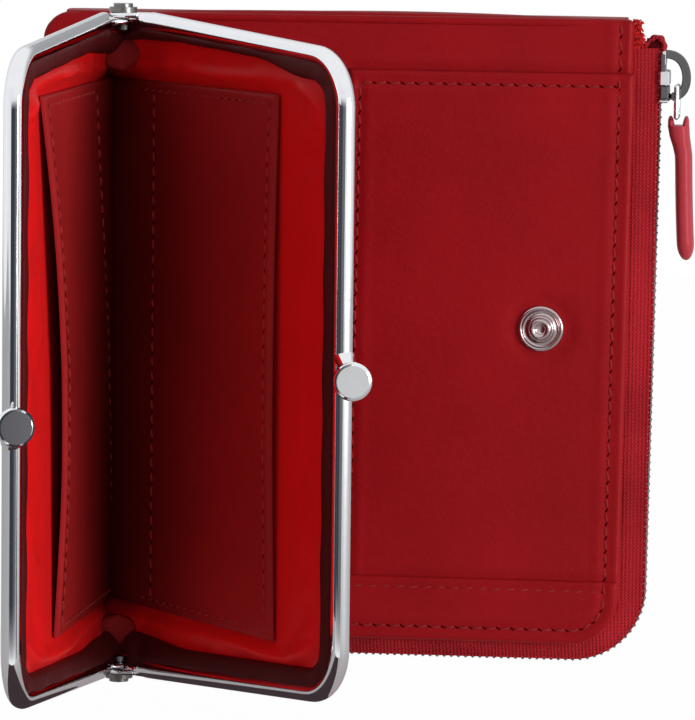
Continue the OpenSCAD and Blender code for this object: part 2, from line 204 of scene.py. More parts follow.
def shell(front, back):
    """Vertices and faces of a closed sheet from two grids of points, shaped (n, m, 3)."""
    n, m = front.shape[:2]
    half = n * m
    faces = grid_faces(n, m) + grid_faces(n, m, half, flip=True)
    rim = [(0, j) for j in range(m)] + [(i, m - 1) for i in range(1, n)]
    rim += [(n - 1, j) for j in range(m - 2, -1, -1)] + [(i, 0) for i in range(n - 2, 0, -1)]
    ids = [i * m + j for i, j in rim]
    faces += [(b, a, a + half, b + half) for a, b in zip(ids, ids[1:] + ids[:1])]
    return np.concatenate([front.reshape(-1, 3), back.reshape(-1, 3)]), faces


def tube(path, profile, up):
    """A profile, points (side, up) or a function of the step that gives them, swept along a path."""
    path = np.asarray(path, float)
    last = len(path) - 1
    verts = []
    for k, point in enumerate(path):
        forward = unit(path[min(k + 1, last)] - path[max(k - 1, 0)])
        side = unit(np.cross(forward, up))
        lift = np.cross(side, forward)
        section = profile(k) if callable(profile) else profile
        verts += [point + side * a + lift * b for a, b in section]
    return verts, capped(last + 1, len(section))


def ring(radius, count):
    angles = [2 * pi * k / count for k in range(count)]
    return [(radius * cos(a), radius * sin(a)) for a in angles]


def squircle(half_a, half_b, power_a, power_b, count):
    """A closed section: an ellipse where the powers are 1, and boxier the smaller they are."""
    return [(half_a * copysign(abs(c) ** power_a, c), half_b * copysign(abs(s) ** power_b, s))
            for c, s in ring(1.0, count)]


def lathe(profile, centre, axis, count):
    """Turns a profile of (radius, height) points round an axis. The first and last radii are closed."""
    axis = Vector(axis).normalized()
    side = axis.orthogonal().normalized()
    other = axis.cross(side)
    spokes = [side * c + other * s for c, s in ring(1.0, count)]
    verts = [Vector(centre) + axis * h + spoke * r for r, h in profile for spoke in spokes]
    return verts, capped(len(profile), count)


def block(low, high, round_off):
    """A box with chamfered edges."""
    cx, cy = (low[0] + high[0]) / 2, (low[1] + high[1]) / 2
    levels = (low[2], low[2] + round_off, high[2] - round_off, high[2])

    def section(k):
        cut = round_off if k in (0, 3) else 0.0
        x, y = high[0] - cx - cut, high[1] - cy - cut
        inner_x, inner_y = x - round_off, y - round_off
        return [(x, inner_y), (x, -inner_y), (inner_x, -y), (-inner_x, -y), (-x, -inner_y), (-x, inner_y),
                (-inner_x, y), (inner_x, y)]

    return tube([(cx, cy, z) for z in levels], section, up=(0, 1, 0))


def merge(parts):
    verts, faces = [], []
    for part_verts, part_faces in parts:
        base = len(verts)
        verts.extend(part_verts)
        faces.extend(tuple(i + base for i in face) for face in part_faces)
    return verts, faces


def even_out(values, along, count, soften=2.0):
    """Resamples anchor values to an even pitch and rounds off their corners."""
    flat = np.interp(np.linspace(0, along[-1], count), along, values)
    reach = int(4 * soften)
    kernel = np.exp(-0.5 * (np.arange(-reach, reach + 1) / soften) ** 2)
    padded = np.concatenate([2 * flat[0] - flat[reach:0:-1], flat, 2 * flat[-1] - flat[-2:-reach - 2:-1]])
    return np.convolve(padded, kernel / kernel.sum(), mode="valid")


def waves_2d(x, z, size, seed):
    """A smooth wandering field between about -1 and 1, for the give of soft leather."""
    field = np.zeros_like(x, dtype=float)
    local = random.Random(seed)
    for _ in range(7):
        angle = local.uniform(0, pi)
        pitch = size * local.uniform(0.6, 1.8)
        phase = local.uniform(0, 2 * pi)
        field += np.sin((x * cos(angle) + z * sin(angle)) * 2 * pi / pitch + phase)
    return field / 5


# ---- stitches ----

def bead(centre, along, normal, length, width, height, dip):
    """One thread stitch: a fat little bead whose ends dive into the leather."""
    side = np.cross(normal, along)
    rings, count = 7, 8
    verts = []
    for i in range(rings):
        s = -1 + 2 * i / (rings - 1)
        swell = sqrt(max(0.05, 1 - s ** 4))
        verts += [centre + along * (s * length / 2) + side * (across * width / 2 * swell)
                  + normal * (rise * height / 2 * swell - dip * s * s) for across, rise in ring(1.0, count)]
    return verts, capped(rings, count)


def stitch_row(points, normal):
    """Thread beads, and between them dark beads painted as the shade inside the needle holes, along a
    polyline.
    """
    points = np.asarray(points, float)
    normal = np.asarray(normal, float)
    run = run_length(points)
    count = max(1, int(round(run[-1] / STITCH)))
    at = (np.arange(count) + 0.5) * run[-1] / count
    tangents = unit(points_at(at + 0.2, run, points) - points_at(at - 0.2, run, points))
    thread, holes = [], []
    for c, t in zip(points_at(at, run, points), tangents):
        side = np.cross(normal, t)
        a = radians(THREAD_SLANT + rng.uniform(-4, 4))
        along = t * cos(a) + side * sin(a)
        length = THREAD_L + rng.uniform(-0.15, 0.1)
        thread.append(bead(c + normal * 0.06, along, normal, length, THREAD_W, THREAD_W, 0.2))
        across = t * cos(HOLE_SLANT) - side * sin(HOLE_SLANT)
        between = c + t * (STITCH / 2) - normal * 0.01
        holes.append(bead(between, across, normal, HOLE_L, HOLE_W, HOLE_W / 2, 0.0))
    return merge(thread), merge(holes)


def sewn(name, rows, body):
    """Makes the thread and hole pieces of several stitch rows: (points, normal) each."""
    threads, holes = zip(*[stitch_row(points, normal) for points, normal in rows])
    add_piece(name + "_thread", merge(threads), thread_red, body, "leather")
    add_piece(name + "_holes", merge(holes), needle_hole_shade, body, "leather")


# ---- materials ----

class Nodes:
    """The node tree of a new material or world, with short ways to add and join nodes."""

    def __init__(self, owner, space="Object"):
        owner.use_nodes = True
        self.owner = owner
        self.tree = owner.node_tree
        self.place = self.add("TexCoord").outputs[space]

    def put(self, made, **values):
        """Sets or joins a node's inputs and sets its properties. An underscore is an input name's space."""
        for key, value in values.items():
            label = key.replace("_", " ")
            if isinstance(value, bpy.types.NodeSocket):
                self.tree.links.new(value, made.inputs[label])
            elif label in made.inputs:
                made.inputs[label].default_value = value
            else:
                setattr(made, key, value)

    def add(self, kind, **values):
        made = self.tree.nodes.new("ShaderNode" + kind)
        self.put(made, **values)
        return made

    def surface(self, **values):
        self.put(self.tree.nodes["Principled BSDF"], **values)

    def shine(self, **values):
        """Makes the material give off light in place of its surface."""
        self.put(self.tree.nodes["Material Output"], Surface=self.add("Emission", **values).outputs[0])

    def math(self, operation, *values):
        made = self.add("Math", operation=operation)
        for socket, value in zip(made.inputs, values):
            if isinstance(value, bpy.types.NodeSocket):
                self.tree.links.new(value, socket)
            else:
                socket.default_value = value
        return made.outputs[0]

    def spread(self, value, low=0.0, high=1.0, **ends):
        return self.add("MapRange", Value=value, From_Min=low, From_Max=high, **ends).outputs["Result"]

    def mix(self, factor, a, b):
        """A blend of two colours, each an RGB triple or a socket."""
        a, b = ((*c, 1) if isinstance(c, tuple) else c for c in (a, b))
        return self.add("Mix", data_type="RGBA", Factor=factor, A=a, B=b).outputs["Result"]

    def noise(self, scale, detail=3.0, rough=0.5):
        made = self.add("TexNoise", Scale=scale, Detail=detail, Roughness=rough, Vector=self.place)
        return made.outputs["Fac"]

    def bump(self, height, strength, distance, **below):
        made = self.add("Bump", Strength=strength, Distance=distance, Height=height, **below)
        return made.outputs["Normal"]


def painted_crease_shade(net, tone, reach, darkest):
    """Painted shade: darkens a colour where surfaces close in on each other, as lost light does deep in a
    bag.
    """
    nearby = net.add("AmbientOcclusion", samples=6, Distance=reach).outputs["AO"]
    light = net.spread(nearby, 0.12, 0.44, To_Min=darkest)
    return net.add("VectorMath", operation="SCALE", Vector=tone, Scale=light).outputs[0]


def leather(name, base, dark, rough=0.42, grain=1.0, coat=0.0, spec=0.2, crease_shade=None):
    """Smooth calf: fine pebble grain, faint hair lines, cloudy colour."""
    net = Nodes(bpy.data.materials.new(name))
    speck = net.noise(1900.0, 2.0, 0.6)
    cloudy = net.math("MULTIPLY_ADD", speck, 0.55, net.noise(45.0, 4.0, 0.55))
    tone = net.mix(net.spread(cloudy, 0.45, 1.1), dark, base)
    # painted shade: this option darkens the colour by ambient occlusion in creases and deep corners
    if crease_shade:
        tone = painted_crease_shade(net, tone, *crease_shade)
    cells = net.add("TexVoronoi", feature="DISTANCE_TO_EDGE", Scale=1500.0, Vector=net.place)
    creases = net.noise(260.0, 5.0, 0.65)
    low = net.bump(creases, 0.35 * grain, 0.0004)
    fine = net.bump(cells.outputs["Distance"], 0.5 * grain, 0.00006, Normal=low)
    net.surface(Base_Color=tone, Normal=net.bump(speck, 0.25 * grain, 0.00005, Normal=fine),
                Roughness=net.spread(creases, To_Min=rough - 0.06, To_Max=rough + 0.1),
                Specular_IOR_Level=spec, Specular_Tint=(1.0, 0.5, 0.5, 1), Coat_Weight=coat,
                Coat_Roughness=0.35)
    return net.owner


def woven(name, base, dark, scale, rough=0.6, sheen=0.3, strength=0.6, depth=0.0001):
    """A fine cloth: two crossed waves of thread and a cloudy colour."""
    net = Nodes(bpy.data.materials.new(name))
    waves = [net.add("TexWave", bands_direction=axis, Scale=scale, Distortion=0.6, Detail=1.0,
                     Vector=net.place) for axis in ("X", "Z")]
    weave = net.math("MULTIPLY", waves[0].outputs["Fac"], waves[1].outputs["Fac"])
    cloudy = net.math("MULTIPLY_ADD", weave, 0.5, net.noise(60.0))
    net.surface(Base_Color=net.mix(cloudy, dark, base), Normal=net.bump(weave, strength, depth),
                Roughness=rough, Sheen_Weight=sheen, Sheen_Tint=(1.0, 0.35, 0.3, 1),
                Specular_IOR_Level=0.2, Specular_Tint=(1.0, 0.45, 0.45, 1))
    return net.owner


def metal(name, tint, rough, scratch=0.02, scale=900.0):
    """Polished plate with faint polishing marks and a cloudy roughness."""
    net = Nodes(bpy.data.materials.new(name))
    marks = net.noise(scale, 2.0, 0.7)
    tone = net.mix(marks, tuple(c * 0.92 for c in tint), tint)
    net.surface(Base_Color=tone, Normal=net.bump(marks, scratch, 0.00002), Metallic=1.0,
                Roughness=net.spread(net.noise(220.0), To_Min=rough * 0.7, To_Max=rough * 1.4))
    return net.owner


leather_red = leather("leather_red", (0.40, 0.0078, 0.0125), (0.285, 0.005, 0.008))
# leather_inner: darkened by painted shade in its creases and deep corners; its green and blue are raised a
# little as painted light, a faint haze
leather_inner = leather("leather_inner", (0.41, 0.017, 0.019), (0.30, 0.013, 0.014), rough=0.5, spec=0.12,
                        crease_shade=(0.042, 0.38))
leather_pull = leather("leather_pull", (0.58, 0.055, 0.075), (0.48, 0.04, 0.055), rough=0.34, grain=0.5,
                       coat=0.15)
# needle holes: dark beads whose colour is painted shade, the shade inside each hole
needle_hole_shade = leather("needle_hole_shade", (0.075, 0.001, 0.002), (0.04, 0.001, 0.001), rough=0.8, spec=0.05)
board_brown = leather("board_brown", (0.30, 0.19, 0.10), (0.22, 0.13, 0.07), rough=0.8)
satin_red = woven("satin_red", (0.86, 0.008, 0.009), (0.68, 0.005, 0.007), 2200.0, rough=0.45, sheen=0.05,
                  strength=0.25, depth=0.00004)
tape_red = woven("tape_red", (0.62, 0.022, 0.034), (0.13, 0.001, 0.004), 520.0, rough=0.8, sheen=0.1,
                 strength=1.0, depth=0.0003)
# the tape's red darkened as painted shade, for the inside of the fold
tape_painted_shade = woven("tape_painted_shade", (0.10, 0.003, 0.005), (0.05, 0.001, 0.002), 300.0, rough=0.9, sheen=0.0)
fray_red = woven("fray_red", (0.80, 0.02, 0.02), (0.55, 0.01, 0.012), 2000.0, rough=0.7)
thread_red = woven("thread_red", (0.50, 0.045, 0.045), (0.30, 0.014, 0.016), 2400.0, sheen=0.1, strength=0.8)
# facing: a real strip, its colour darkened below its leather as painted shade
facing_shaded_red = woven("facing_shaded_red", (0.10, 0.009, 0.010), (0.055, 0.006, 0.007), 1800.0, rough=0.5, sheen=0.0)
cord_tan = woven("cord_tan", (0.45, 0.33, 0.2), (0.3, 0.2, 0.12), 600.0)
chrome = metal("chrome", (0.90, 0.91, 0.92), 0.05)
# slider base metal: darkened as painted shade, beside the plain bright lug
slider_metal_shaded = metal("slider_metal_shaded", (0.15, 0.145, 0.145), 0.22, 0.06)
# nickel: tinted pink and dimmed as painted reflection of the red leather round it
nickel = metal("nickel", (0.58, 0.47, 0.47), 0.16, 0.05)
# coil turns: metal darkened as painted reflection, for the dark the turns mirror
coil_metal_dark_reflection = metal("coil_metal_dark_reflection", (0.36, 0.34, 0.34), 0.25, 0.1)
zip_silver = metal("zip_silver", (0.82, 0.82, 0.83), 0.18, 0.06)
dark_steel = metal("dark_steel", (0.22, 0.21, 0.20), 0.28, 0.2, 500.0)


def paint(node_name, mat, soften=0.0):
    """Gives a shown CAD node its material, and a small bevel where the real edge is soft."""
    obj = frame["nodes"][node_name]
    obj.data.materials.clear()
    obj.data.materials.append(mat)
    if soften:
        bevel = obj.modifiers.new("soft_edge", "BEVEL")
        bevel.width = soften * MM
        bevel.segments = 3
        bevel.limit_method = "ANGLE"
        bevel.angle_limit = radians(35)


# ---- wallet leather ----

def lines_between(*corners, step=0.8):
    """Points along straight runs between corners."""
    points = []
    for a, b in zip(corners[:-1], corners[1:]):
        a, b = np.array(a, float), np.array(b, float)
        count = max(2, int(np.linalg.norm(b - a) / step))
        points += [a + (b - a) * k / count for k in range(count)]
    points.append(np.array(corners[-1], float))
    return points


def arc(centre, radius, start, end, count=10):
    angles = [radians(start + (end - start) * k / count) for k in range(count + 1)]
    return [np.array([centre[0] + radius * cos(a), centre[1] + radius * sin(a)]) for a in angles]


def distance_to(points, x, z):
    """Distance from each grid point (x, z) to a polyline in the same plane."""
    best = np.full(x.shape, 1e9)
    for (ax, az), (bx, bz) in zip(points[:-1], points[1:]):
        dx, dz = bx - ax, bz - az
        t = np.clip(((x - ax) * dx + (z - az) * dz) / (dx * dx + dz * dz + 1e-12), 0, 1)
        best = np.minimum(best, np.hypot(x - ax - t * dx, z - az - t * dz))
    return best


def lean(x, z):
    """Sideways drift of the outer leather, which is sewn a little askew towards its foot."""
    return -0.75 * (HALF_H - z) / (2 * HALF_H) * (1 + np.clip(x / HALF_W, -1, 1.1))


def plane_points(points, y):
    return [(x + lean(x, z), y, z) for x, z in points]


GROOVE_DEPTH = 0.20
GROOVE_W = 0.55
SWELL = 0.10
SWELL_OUT = 1.5
SWELL_W = 0.8


def leather_sheet(name, nodes, low, high, front_y, back_y, seams, corners=(0, 0, 0), roll=0.7, puff=0.0,
                  wave=0.12, seed=1, step=0.62, relief=None, top_skew=None):
    """A sewn leather layer in the wallet's plane with rolled edges, pressed in along its seams.
    Corners are the radii of the lower corners, the upper left one and the upper right one."""
    edge = np.array([0, 0.12, 0.3, 0.55, 0.85, 1.25])
    xs, zs = (np.concatenate([a + edge, np.arange(a + 1.8, b - 1.8, step), b - edge[::-1]])
              for a, b in zip(low, high))
    grid_x, grid_z = np.meshgrid(xs, zs, indexing="ij")
    mid, half = (low[0] + high[0]) / 2, (high[0] - low[0]) / 2
    foot, top_left, top_right = corners

    def half_width(z, top):
        width = half
        for radius, depth in ((foot, foot - (z - low[1])), (top, top + (z - high[1]))):
            if radius > 0 and depth > 0:
                width = min(width, half - radius + sqrt(max(0.0, radius ** 2 - depth ** 2)))
        return width

    share = (grid_x - mid) / half
    width = np.where(share > 0, [half_width(z, top_right) for z in zs], [half_width(z, top_left) for z in zs])
    grid_x = mid + share * width
    inset = np.minimum(width * (1 - np.abs(share)), np.minimum(grid_z - low[1], high[1] - grid_z)).clip(0)
    rounding = np.clip(1 - inset / roll, 0, 1)
    y = front_y + (1 - np.sqrt(1 - rounding ** 2)) * min(roll, abs(back_y - front_y) * 0.9)
    y -= wave * waves_2d(grid_x, grid_z, 46.0, seed) * np.clip(inset / 6, 0, 1)
    y -= puff * (1 - np.exp(-(inset / 7.0) ** 2))
    for seam in seams:
        d = distance_to(seam, grid_x, grid_z)
        y += GROOVE_DEPTH * np.exp(-(d / GROOVE_W) ** 2)
        y -= SWELL * np.exp(-((d - SWELL_OUT) / SWELL_W) ** 2)
    if relief is not None:
        y += relief(grid_x, grid_z)
    if top_skew is not None:
        grid_z = grid_z + top_skew(grid_x) * np.clip((grid_z - high[1] + 9) / 9, 0, 1)
    grid_x = grid_x + lean(grid_x, grid_z)
    front = np.stack([grid_x, y, grid_z], axis=-1)
    back = np.stack([grid_x, np.full_like(y, back_y), grid_z], axis=-1)
    add_piece(name, shell(front, back), leather_red, "wallet", "leather", *nodes, sharp=50)


EDGE_SEAM = 2.2
POCKET_LEFT = 2.5
POCKET_TOP = 44.4
BAND_TOP = -42.9
BAND_Y = FRONT_Y - 0.5
SEAM_R = CORNER_R - EDGE_SEAM
seam_x = HALF_W - EDGE_SEAM
seam_foot = -HALF_H + EDGE_SEAM
right_seam_top = [(seam_x, HALF_H - 0.6), (seam_x, POCKET_TOP + 0.4)]
right_seam_pocket = lines_between((seam_x, POCKET_TOP - 0.6), (seam_x, BAND_TOP + 0.3))
right_seam_band = (lines_between((seam_x, BAND_TOP - 0.4), (seam_x, CORNER[1])) + arc(CORNER, SEAM_R, 0, -90)
                   + lines_between((CORNER[0], seam_foot), (-HALF_W + 9, seam_foot)))
pocket_top_seam = lines_between((POCKET_LEFT + 1.9, POCKET_TOP - 2.3), (seam_x - 0.6, POCKET_TOP - 2.3))
pocket_left_seam = lines_between((POCKET_LEFT + 1.9, POCKET_TOP - 2.6), (POCKET_LEFT + 1.5, BAND_TOP + 0.4))
band_seam = lines_between((-HALF_W + 7, BAND_TOP - 1.8), (seam_x - 0.6, BAND_TOP - 1.8))
band_step = lines_between((-HALF_W, BAND_TOP + 0.1), (HALF_W, BAND_TOP + 0.1))
pocket_step = lines_between((POCKET_LEFT, POCKET_TOP + 0.1), (HALF_W, POCKET_TOP + 0.1))

snap_low, snap_high = box_mm("snap_stud")
SNAP = (snap_low + snap_high) / 2
SNAP_R = (snap_high[0] - snap_low[0]) / 2


def stud_dent(x, z):
    """The leather is pressed in under the stud and swells a little round it."""
    d = np.hypot(x + lean(x, z) - SNAP[0], z - SNAP[2])
    return 0.28 * np.exp(-((d - 4.6) / 1.5) ** 2) * (d > 3.6) + 0.2 * (d <= 3.6)


def add_wallet_leather():
    """The front panel, the slip pocket and the lower band, with their seams."""
    leather_sheet("front_leather", ("front_panel", "edge_binding"), (-HALF_W, -HALF_H), (HALF_W, HALF_H),
                  PANEL_Y, PANEL_Y + 1.5, [right_seam_top, pocket_step], (CORNER_R, 5.0, 1.2), roll=1.1,
                  puff=0.1, seed=3, top_skew=lambda x: 0.4 - 0.00030 * (x - 4) ** 2)
    leather_sheet("pocket_leather", ("card_pocket",), (POCKET_LEFT, BAND_TOP - 3.0),
                  (HALF_W + 0.35, POCKET_TOP), FRONT_Y, PANEL_Y - 0.06,
                  [right_seam_pocket, pocket_top_seam, pocket_left_seam, band_step], puff=0.18, seed=5,
                  relief=stud_dent)
    leather_sheet("band_leather", ("lower_band",), (-HALF_W - 0.1, -HALF_H - 0.15),
                  (HALF_W + 0.15, BAND_TOP), BAND_Y, PANEL_Y + 1.2, [right_seam_band, band_seam],
                  (CORNER_R, 0, 0), puff=0.1, seed=8)
    for name, seams in (
            ("front_edge_stitch", ((right_seam_top, PANEL_Y + 0.12), (right_seam_pocket, FRONT_Y + 0.12),
                                   (right_seam_band, BAND_Y + 0.12))),
            ("pocket_stitch", ((pocket_top_seam, FRONT_Y + 0.1), (pocket_left_seam, FRONT_Y + 0.1),
                               (band_seam, BAND_Y + 0.12)))):
        sewn(name, [(plane_points(seam, y), TOWARDS_VIEW) for seam, y in seams], "wallet")


def add_back_and_edges():
    """The back cover, its stitching, and the strips that close the spine and the top."""
    leather_sheet("back_leather", ("back_cover",), (-HALF_W, -HALF_H), (HALF_W, HALF_H), 0.0, -1.2, [],
                  (CORNER_R, 5.0, 6.0), roll=0.9, wave=-0.04, seed=11, step=1.2,
                  top_skew=lambda x: 0.1 - 0.00075 * (x - 10) ** 2)
    left, top, r = -seam_x, -seam_foot, SEAM_R
    bend = left + 3, top - 3
    loop = lines_between((seam_x, top), (seam_x, CORNER[1])) + arc(CORNER, r, 0, -90)
    loop += lines_between((CORNER[0], -top), (left + r, -top)) + arc((left + r, -top + r), r, -90, -180)
    loop += lines_between((left, -top + r), (left, bend[1])) + arc(bend, 3, 180, 90)
    loop += lines_between((bend[0], top), (seam_x, top))
    sewn("back_stitch", [(plane_points(loop, -0.05), (0, 1, 0))], "wallet")
    count = 90
    spine = [(-HALF_W + 0.9, FRONT_Y / 2 - 0.6, z) for z in np.linspace(-HALF_H + 5, HALF_H - 4, count)]
    crown = [(x, FRONT_Y / 2 - 0.2, HALF_H - 0.9) for x in np.linspace(-HALF_W + 4, HALF_W - 1.5, count)]

    def section(k):
        return squircle(0.85, 4.6 * (1 - 0.3 * abs(2 * k / (count - 1) - 1) ** 8), 0.6, 0.35, 20)

    for name, path in (("spine", spine), ("top", crown)):
        strip = tube(path, section, up=(0, 1, 0))
        add_piece(name + "_leather", strip, leather_red, "wallet", "leather", name + "_strip", sharp=60)


def add_insides():
    """Boards and linings of the zip compartment keep their CAD shape."""
    for side in ("back", "front"):
        paint(side + "_board", board_brown)
        paint(side + "_lining", satin_red)


# ---- snap ----

def add_snap():
    """The stud: rolled rim, dished flange, stepped boss and dimpled nub."""
    profile = ((0.55, -0.25), (0.94, -0.25), (0.99, 0.05), (1, 0.3), (0.985, 0.52), (0.94, 0.68),
               (0.89, 0.72), (0.84, 0.66), (0.8, 0.5), (0.72, 0.4), (0.64, 0.42), (0.6, 0.55), (0.575, 0.85),
               (0.54, 1.05), (0.5, 1.1), (0.465, 1.02), (0.45, 1.0), (0.445, 1.45), (0.455, 1.75),
               (0.44, 1.93), (0.38, 2.02), (0.3, 2.0), (0.24, 1.85), (0.2, 1.6), (0.16, 1.5), (0.02, 1.46))
    stud = lathe([(SNAP_R * r, h) for r, h in profile], (SNAP[0], FRONT_Y + 0.12, SNAP[2]), TOWARDS_VIEW, 72)
    add_piece("snap_stud_metal", stud, nickel, "wallet", "nickel", "snap_stud")
    paint("snap_post", nickel, 0.1)
    paint("snap_socket", nickel, 0.12)


# ---- zip ----

CHAIN_Y = FRONT_Y / 2 + 0.3
CHAIN_OUT = 4.1
COIL_PITCH = 0.62
ZIP_TOP = HALF_H - 5.1
FRAY_COUNT = 230


def snug(x, down):
    """How far the zip stands out: less along the bottom, and least where it tucks in at the spine."""
    return (1 - 0.24 * down) * (0.15 + 0.85 * ease((x + HALF_W - 1.0) / 9))


def edge_path(out, top, step=0.6):
    """Points down the right edge, round the corner and along the bottom, a distance out from the leather."""
    points = [(HALF_W + out, z) for z in np.arange(top, CORNER[1], -step)]
    count = max(8, int((CORNER_R + out) * 1.57 / step))
    for k in range(count + 1):
        a = radians(-90 * k / count)
        r = CORNER_R + out * snug(CORNER[0], -sin(a))
        points.append((CORNER[0] + r * cos(a), CORNER[1] + r * sin(a)))
    points += [(x, -HALF_H - out * snug(x, 1)) for x in np.arange(CORNER[0] - step, -HALF_W + 1.5, -step)]
    return np.array([(x + lean(x, z), z) for x, z in points])


def edge_frame(path):
    """Position, outward and forward directions at each point of an edge path."""
    forward = unit(np.gradient(path, axis=0))
    return path, np.stack([-forward[:, 1], forward[:, 0]], axis=1), forward


def add_tape(name, side, base, outward, reach):
    """One woven tape, which bends out from the leather to its row of coil turns."""
    leather_y = PANEL_Y + LEATHER_T if side < 0 else -LEATHER_T
    sewn_y = leather_y - 0.12 * side
    t = np.linspace(0.12, 1.0, 14)
    bent = t * t * (3 - 2 * t)
    out = np.concatenate([[-4.5, -1.5, -0.2], -0.2 + (CHAIN_OUT + 0.65) * t])
    y = np.concatenate([[leather_y + 0.1 * side, leather_y, sewn_y],
                        sewn_y * (1 - bent) + (CHAIN_Y + side * 1.55) * bent])
    section = np.stack([out, y], axis=1)
    slope = np.gradient(section, axis=0)
    normal = -side * unit(np.stack([slope[:, 1], -slope[:, 0]], axis=1))
    thick = 0.25 + 0.05 * np.cos(np.arange(len(section)) * pi)
    ripple = 0.20 * np.sin(np.arange(len(base)) * 0.9)[:, None]
    share = np.linspace(0, 1, len(section))
    grids = []
    for edge in (section + normal * thick[:, None], section - normal * 0.25):
        out, y = edge.T
        stand = np.where(out > 0, out * reach[:, None], out) + ripple * share * (1 - share)
        grids.append(np.stack([base[:, :1] + outward[:, :1] * stand, np.broadcast_to(y, stand.shape),
                               base[:, 1:] + outward[:, 1:] * stand], axis=-1))
    add_piece("tape_" + name, shell(*grids), tape_red, "wallet", "zip_tape", "zip_tape_" + name, sharp=70)


def add_coil(name, side, wire_r, hook):
    """Every other coil turn: a bent wire that hooks over the edge from its own tape, round a seat of cord."""
    path = edge_path(CHAIN_OUT + 0.12, HALF_H - 5.5, step=0.05)
    steps = run_length(path)
    at = np.arange(0.3, steps[-1] - 0.3, COIL_PITCH)
    turns = list(zip(*edge_frame(points_at(at, steps, path))))
    turned = np.linspace(-75, 255, 13)
    a = np.radians(turned)
    slide = 0.16 * (turned - 90) / 165
    parts = []
    for centre, outward, forward in turns[0 if side < 0 else 1::2]:
        flat = centre + np.outer(hook * np.sin(a), outward) + np.outer(slide, forward)
        loop = np.stack([flat[:, 0], CHAIN_Y + side * (0.60 + 0.95 * np.cos(a)), flat[:, 1]], axis=1)
        parts.append(tube(loop, ring(wire_r, 6), up=(forward[0], 0.0, forward[1])))
    add_piece("coil_" + name, merge(parts), coil_metal_dark_reflection, "wallet", "zip_metal", "zip_coil_" + name)
    seat = [(x, CHAIN_Y + side * 1.1, z) for x, z in edge_path(CHAIN_OUT - 1.5, HALF_H - 5.0, step=1.0)]
    add_piece("coil_seat_" + name, tube(seat, ring(0.6, 8), up=(0, 1, 0)), tape_red, "wallet", "zip_tape")


def add_zip():
    base, outward, _ = edge_frame(edge_path(0.0, ZIP_TOP, step=0.8))
    reach = np.array([snug(x, max(0.0, -down)) for x, down in zip(base[:, 0], outward[:, 1])])
    for name, side, wire_r, hook in (("front", -1, 0.30, 0.42), ("back", 1, 0.23, 0.28)):
        add_tape(name, side, base, outward, reach)
        add_coil(name, side, wire_r, hook)
    add_zip_end()
    low, high = (HALF_W + 3.5, CHAIN_Y - 1.7, ZIP_TOP - 0.25), (HALF_W + 4.6, CHAIN_Y + 1.7, ZIP_TOP + 0.8)
    clip = block(low, high, 0.25)
    add_piece("zip_stop_clip", clip, zip_silver, "wallet", "zip_metal", "zip_stops", sharp=40)
    paint("zip_link", zip_silver)


def add_zip_end():
    """The folded tape end above the slider and the frayed threads tucked behind the leather's top corner."""
    arch = np.array([(1.2, -1.2), (1.9, 0.7), (3.0, 1.8), (4.1, 1.9), (4.8, 1.0), (4.9, -0.6), (4.5, -1.8)])
    along = run_length(arch)
    arch_x, arch_z = (even_out(column, along, 40, 2.5) for column in arch.T)

    def band(k):
        return squircle(2.15, 0.42 + 0.12 * sin(k * 0.9), 0.5, 0.7, 18)

    path = [(HALF_W + x, CHAIN_Y - 0.2, ZIP_TOP + z) for x, z in zip(arch_x, arch_z)]
    sleeve = tube(path, band, up=(0.3, 0, 1))
    # the inside of the fold: a dark core painted as the shade in the fold
    inside = tube([(HALF_W + 1.9 + 2.5 * t, CHAIN_Y, ZIP_TOP + 0.3) for t in np.linspace(0, 1, 6)],
                  squircle(1.9, 1.3, 1, 1, 18), up=(0, 0, 1))
    add_piece("tape_fold_inside", inside, tape_painted_shade, "wallet", "zip_tape")
    add_piece("tape_fold", sleeve, tape_red, "wallet", "zip_tape", sharp=60)
    threads = []
    for _ in range(FRAY_COUNT):
        x = HALF_W + rng.uniform(-0.6, 0.8)
        z = ZIP_TOP + 0.6 + rng.uniform(-0.7, 4.0)
        y = PANEL_Y + rng.uniform(1.0, 4.0)
        reach = rng.uniform(0.5, 1.5) * (1 - 0.15 * (z - ZIP_TOP))
        curl = rng.uniform(-0.5, 0.5)
        points = []
        for t in np.linspace(0, 1, 6):
            rise = 0.5 * sin(t * 3 + curl) * t + rng.uniform(-0.03, 0.03)
            points.append((x + reach * t, y + curl * t * t, z + rise))
        threads.append(tube(points, ring(0.11, 5), up=(0, 1, 0.1)))
    add_piece("tape_fray", merge(threads), fray_red, "wallet", "zip_tape")


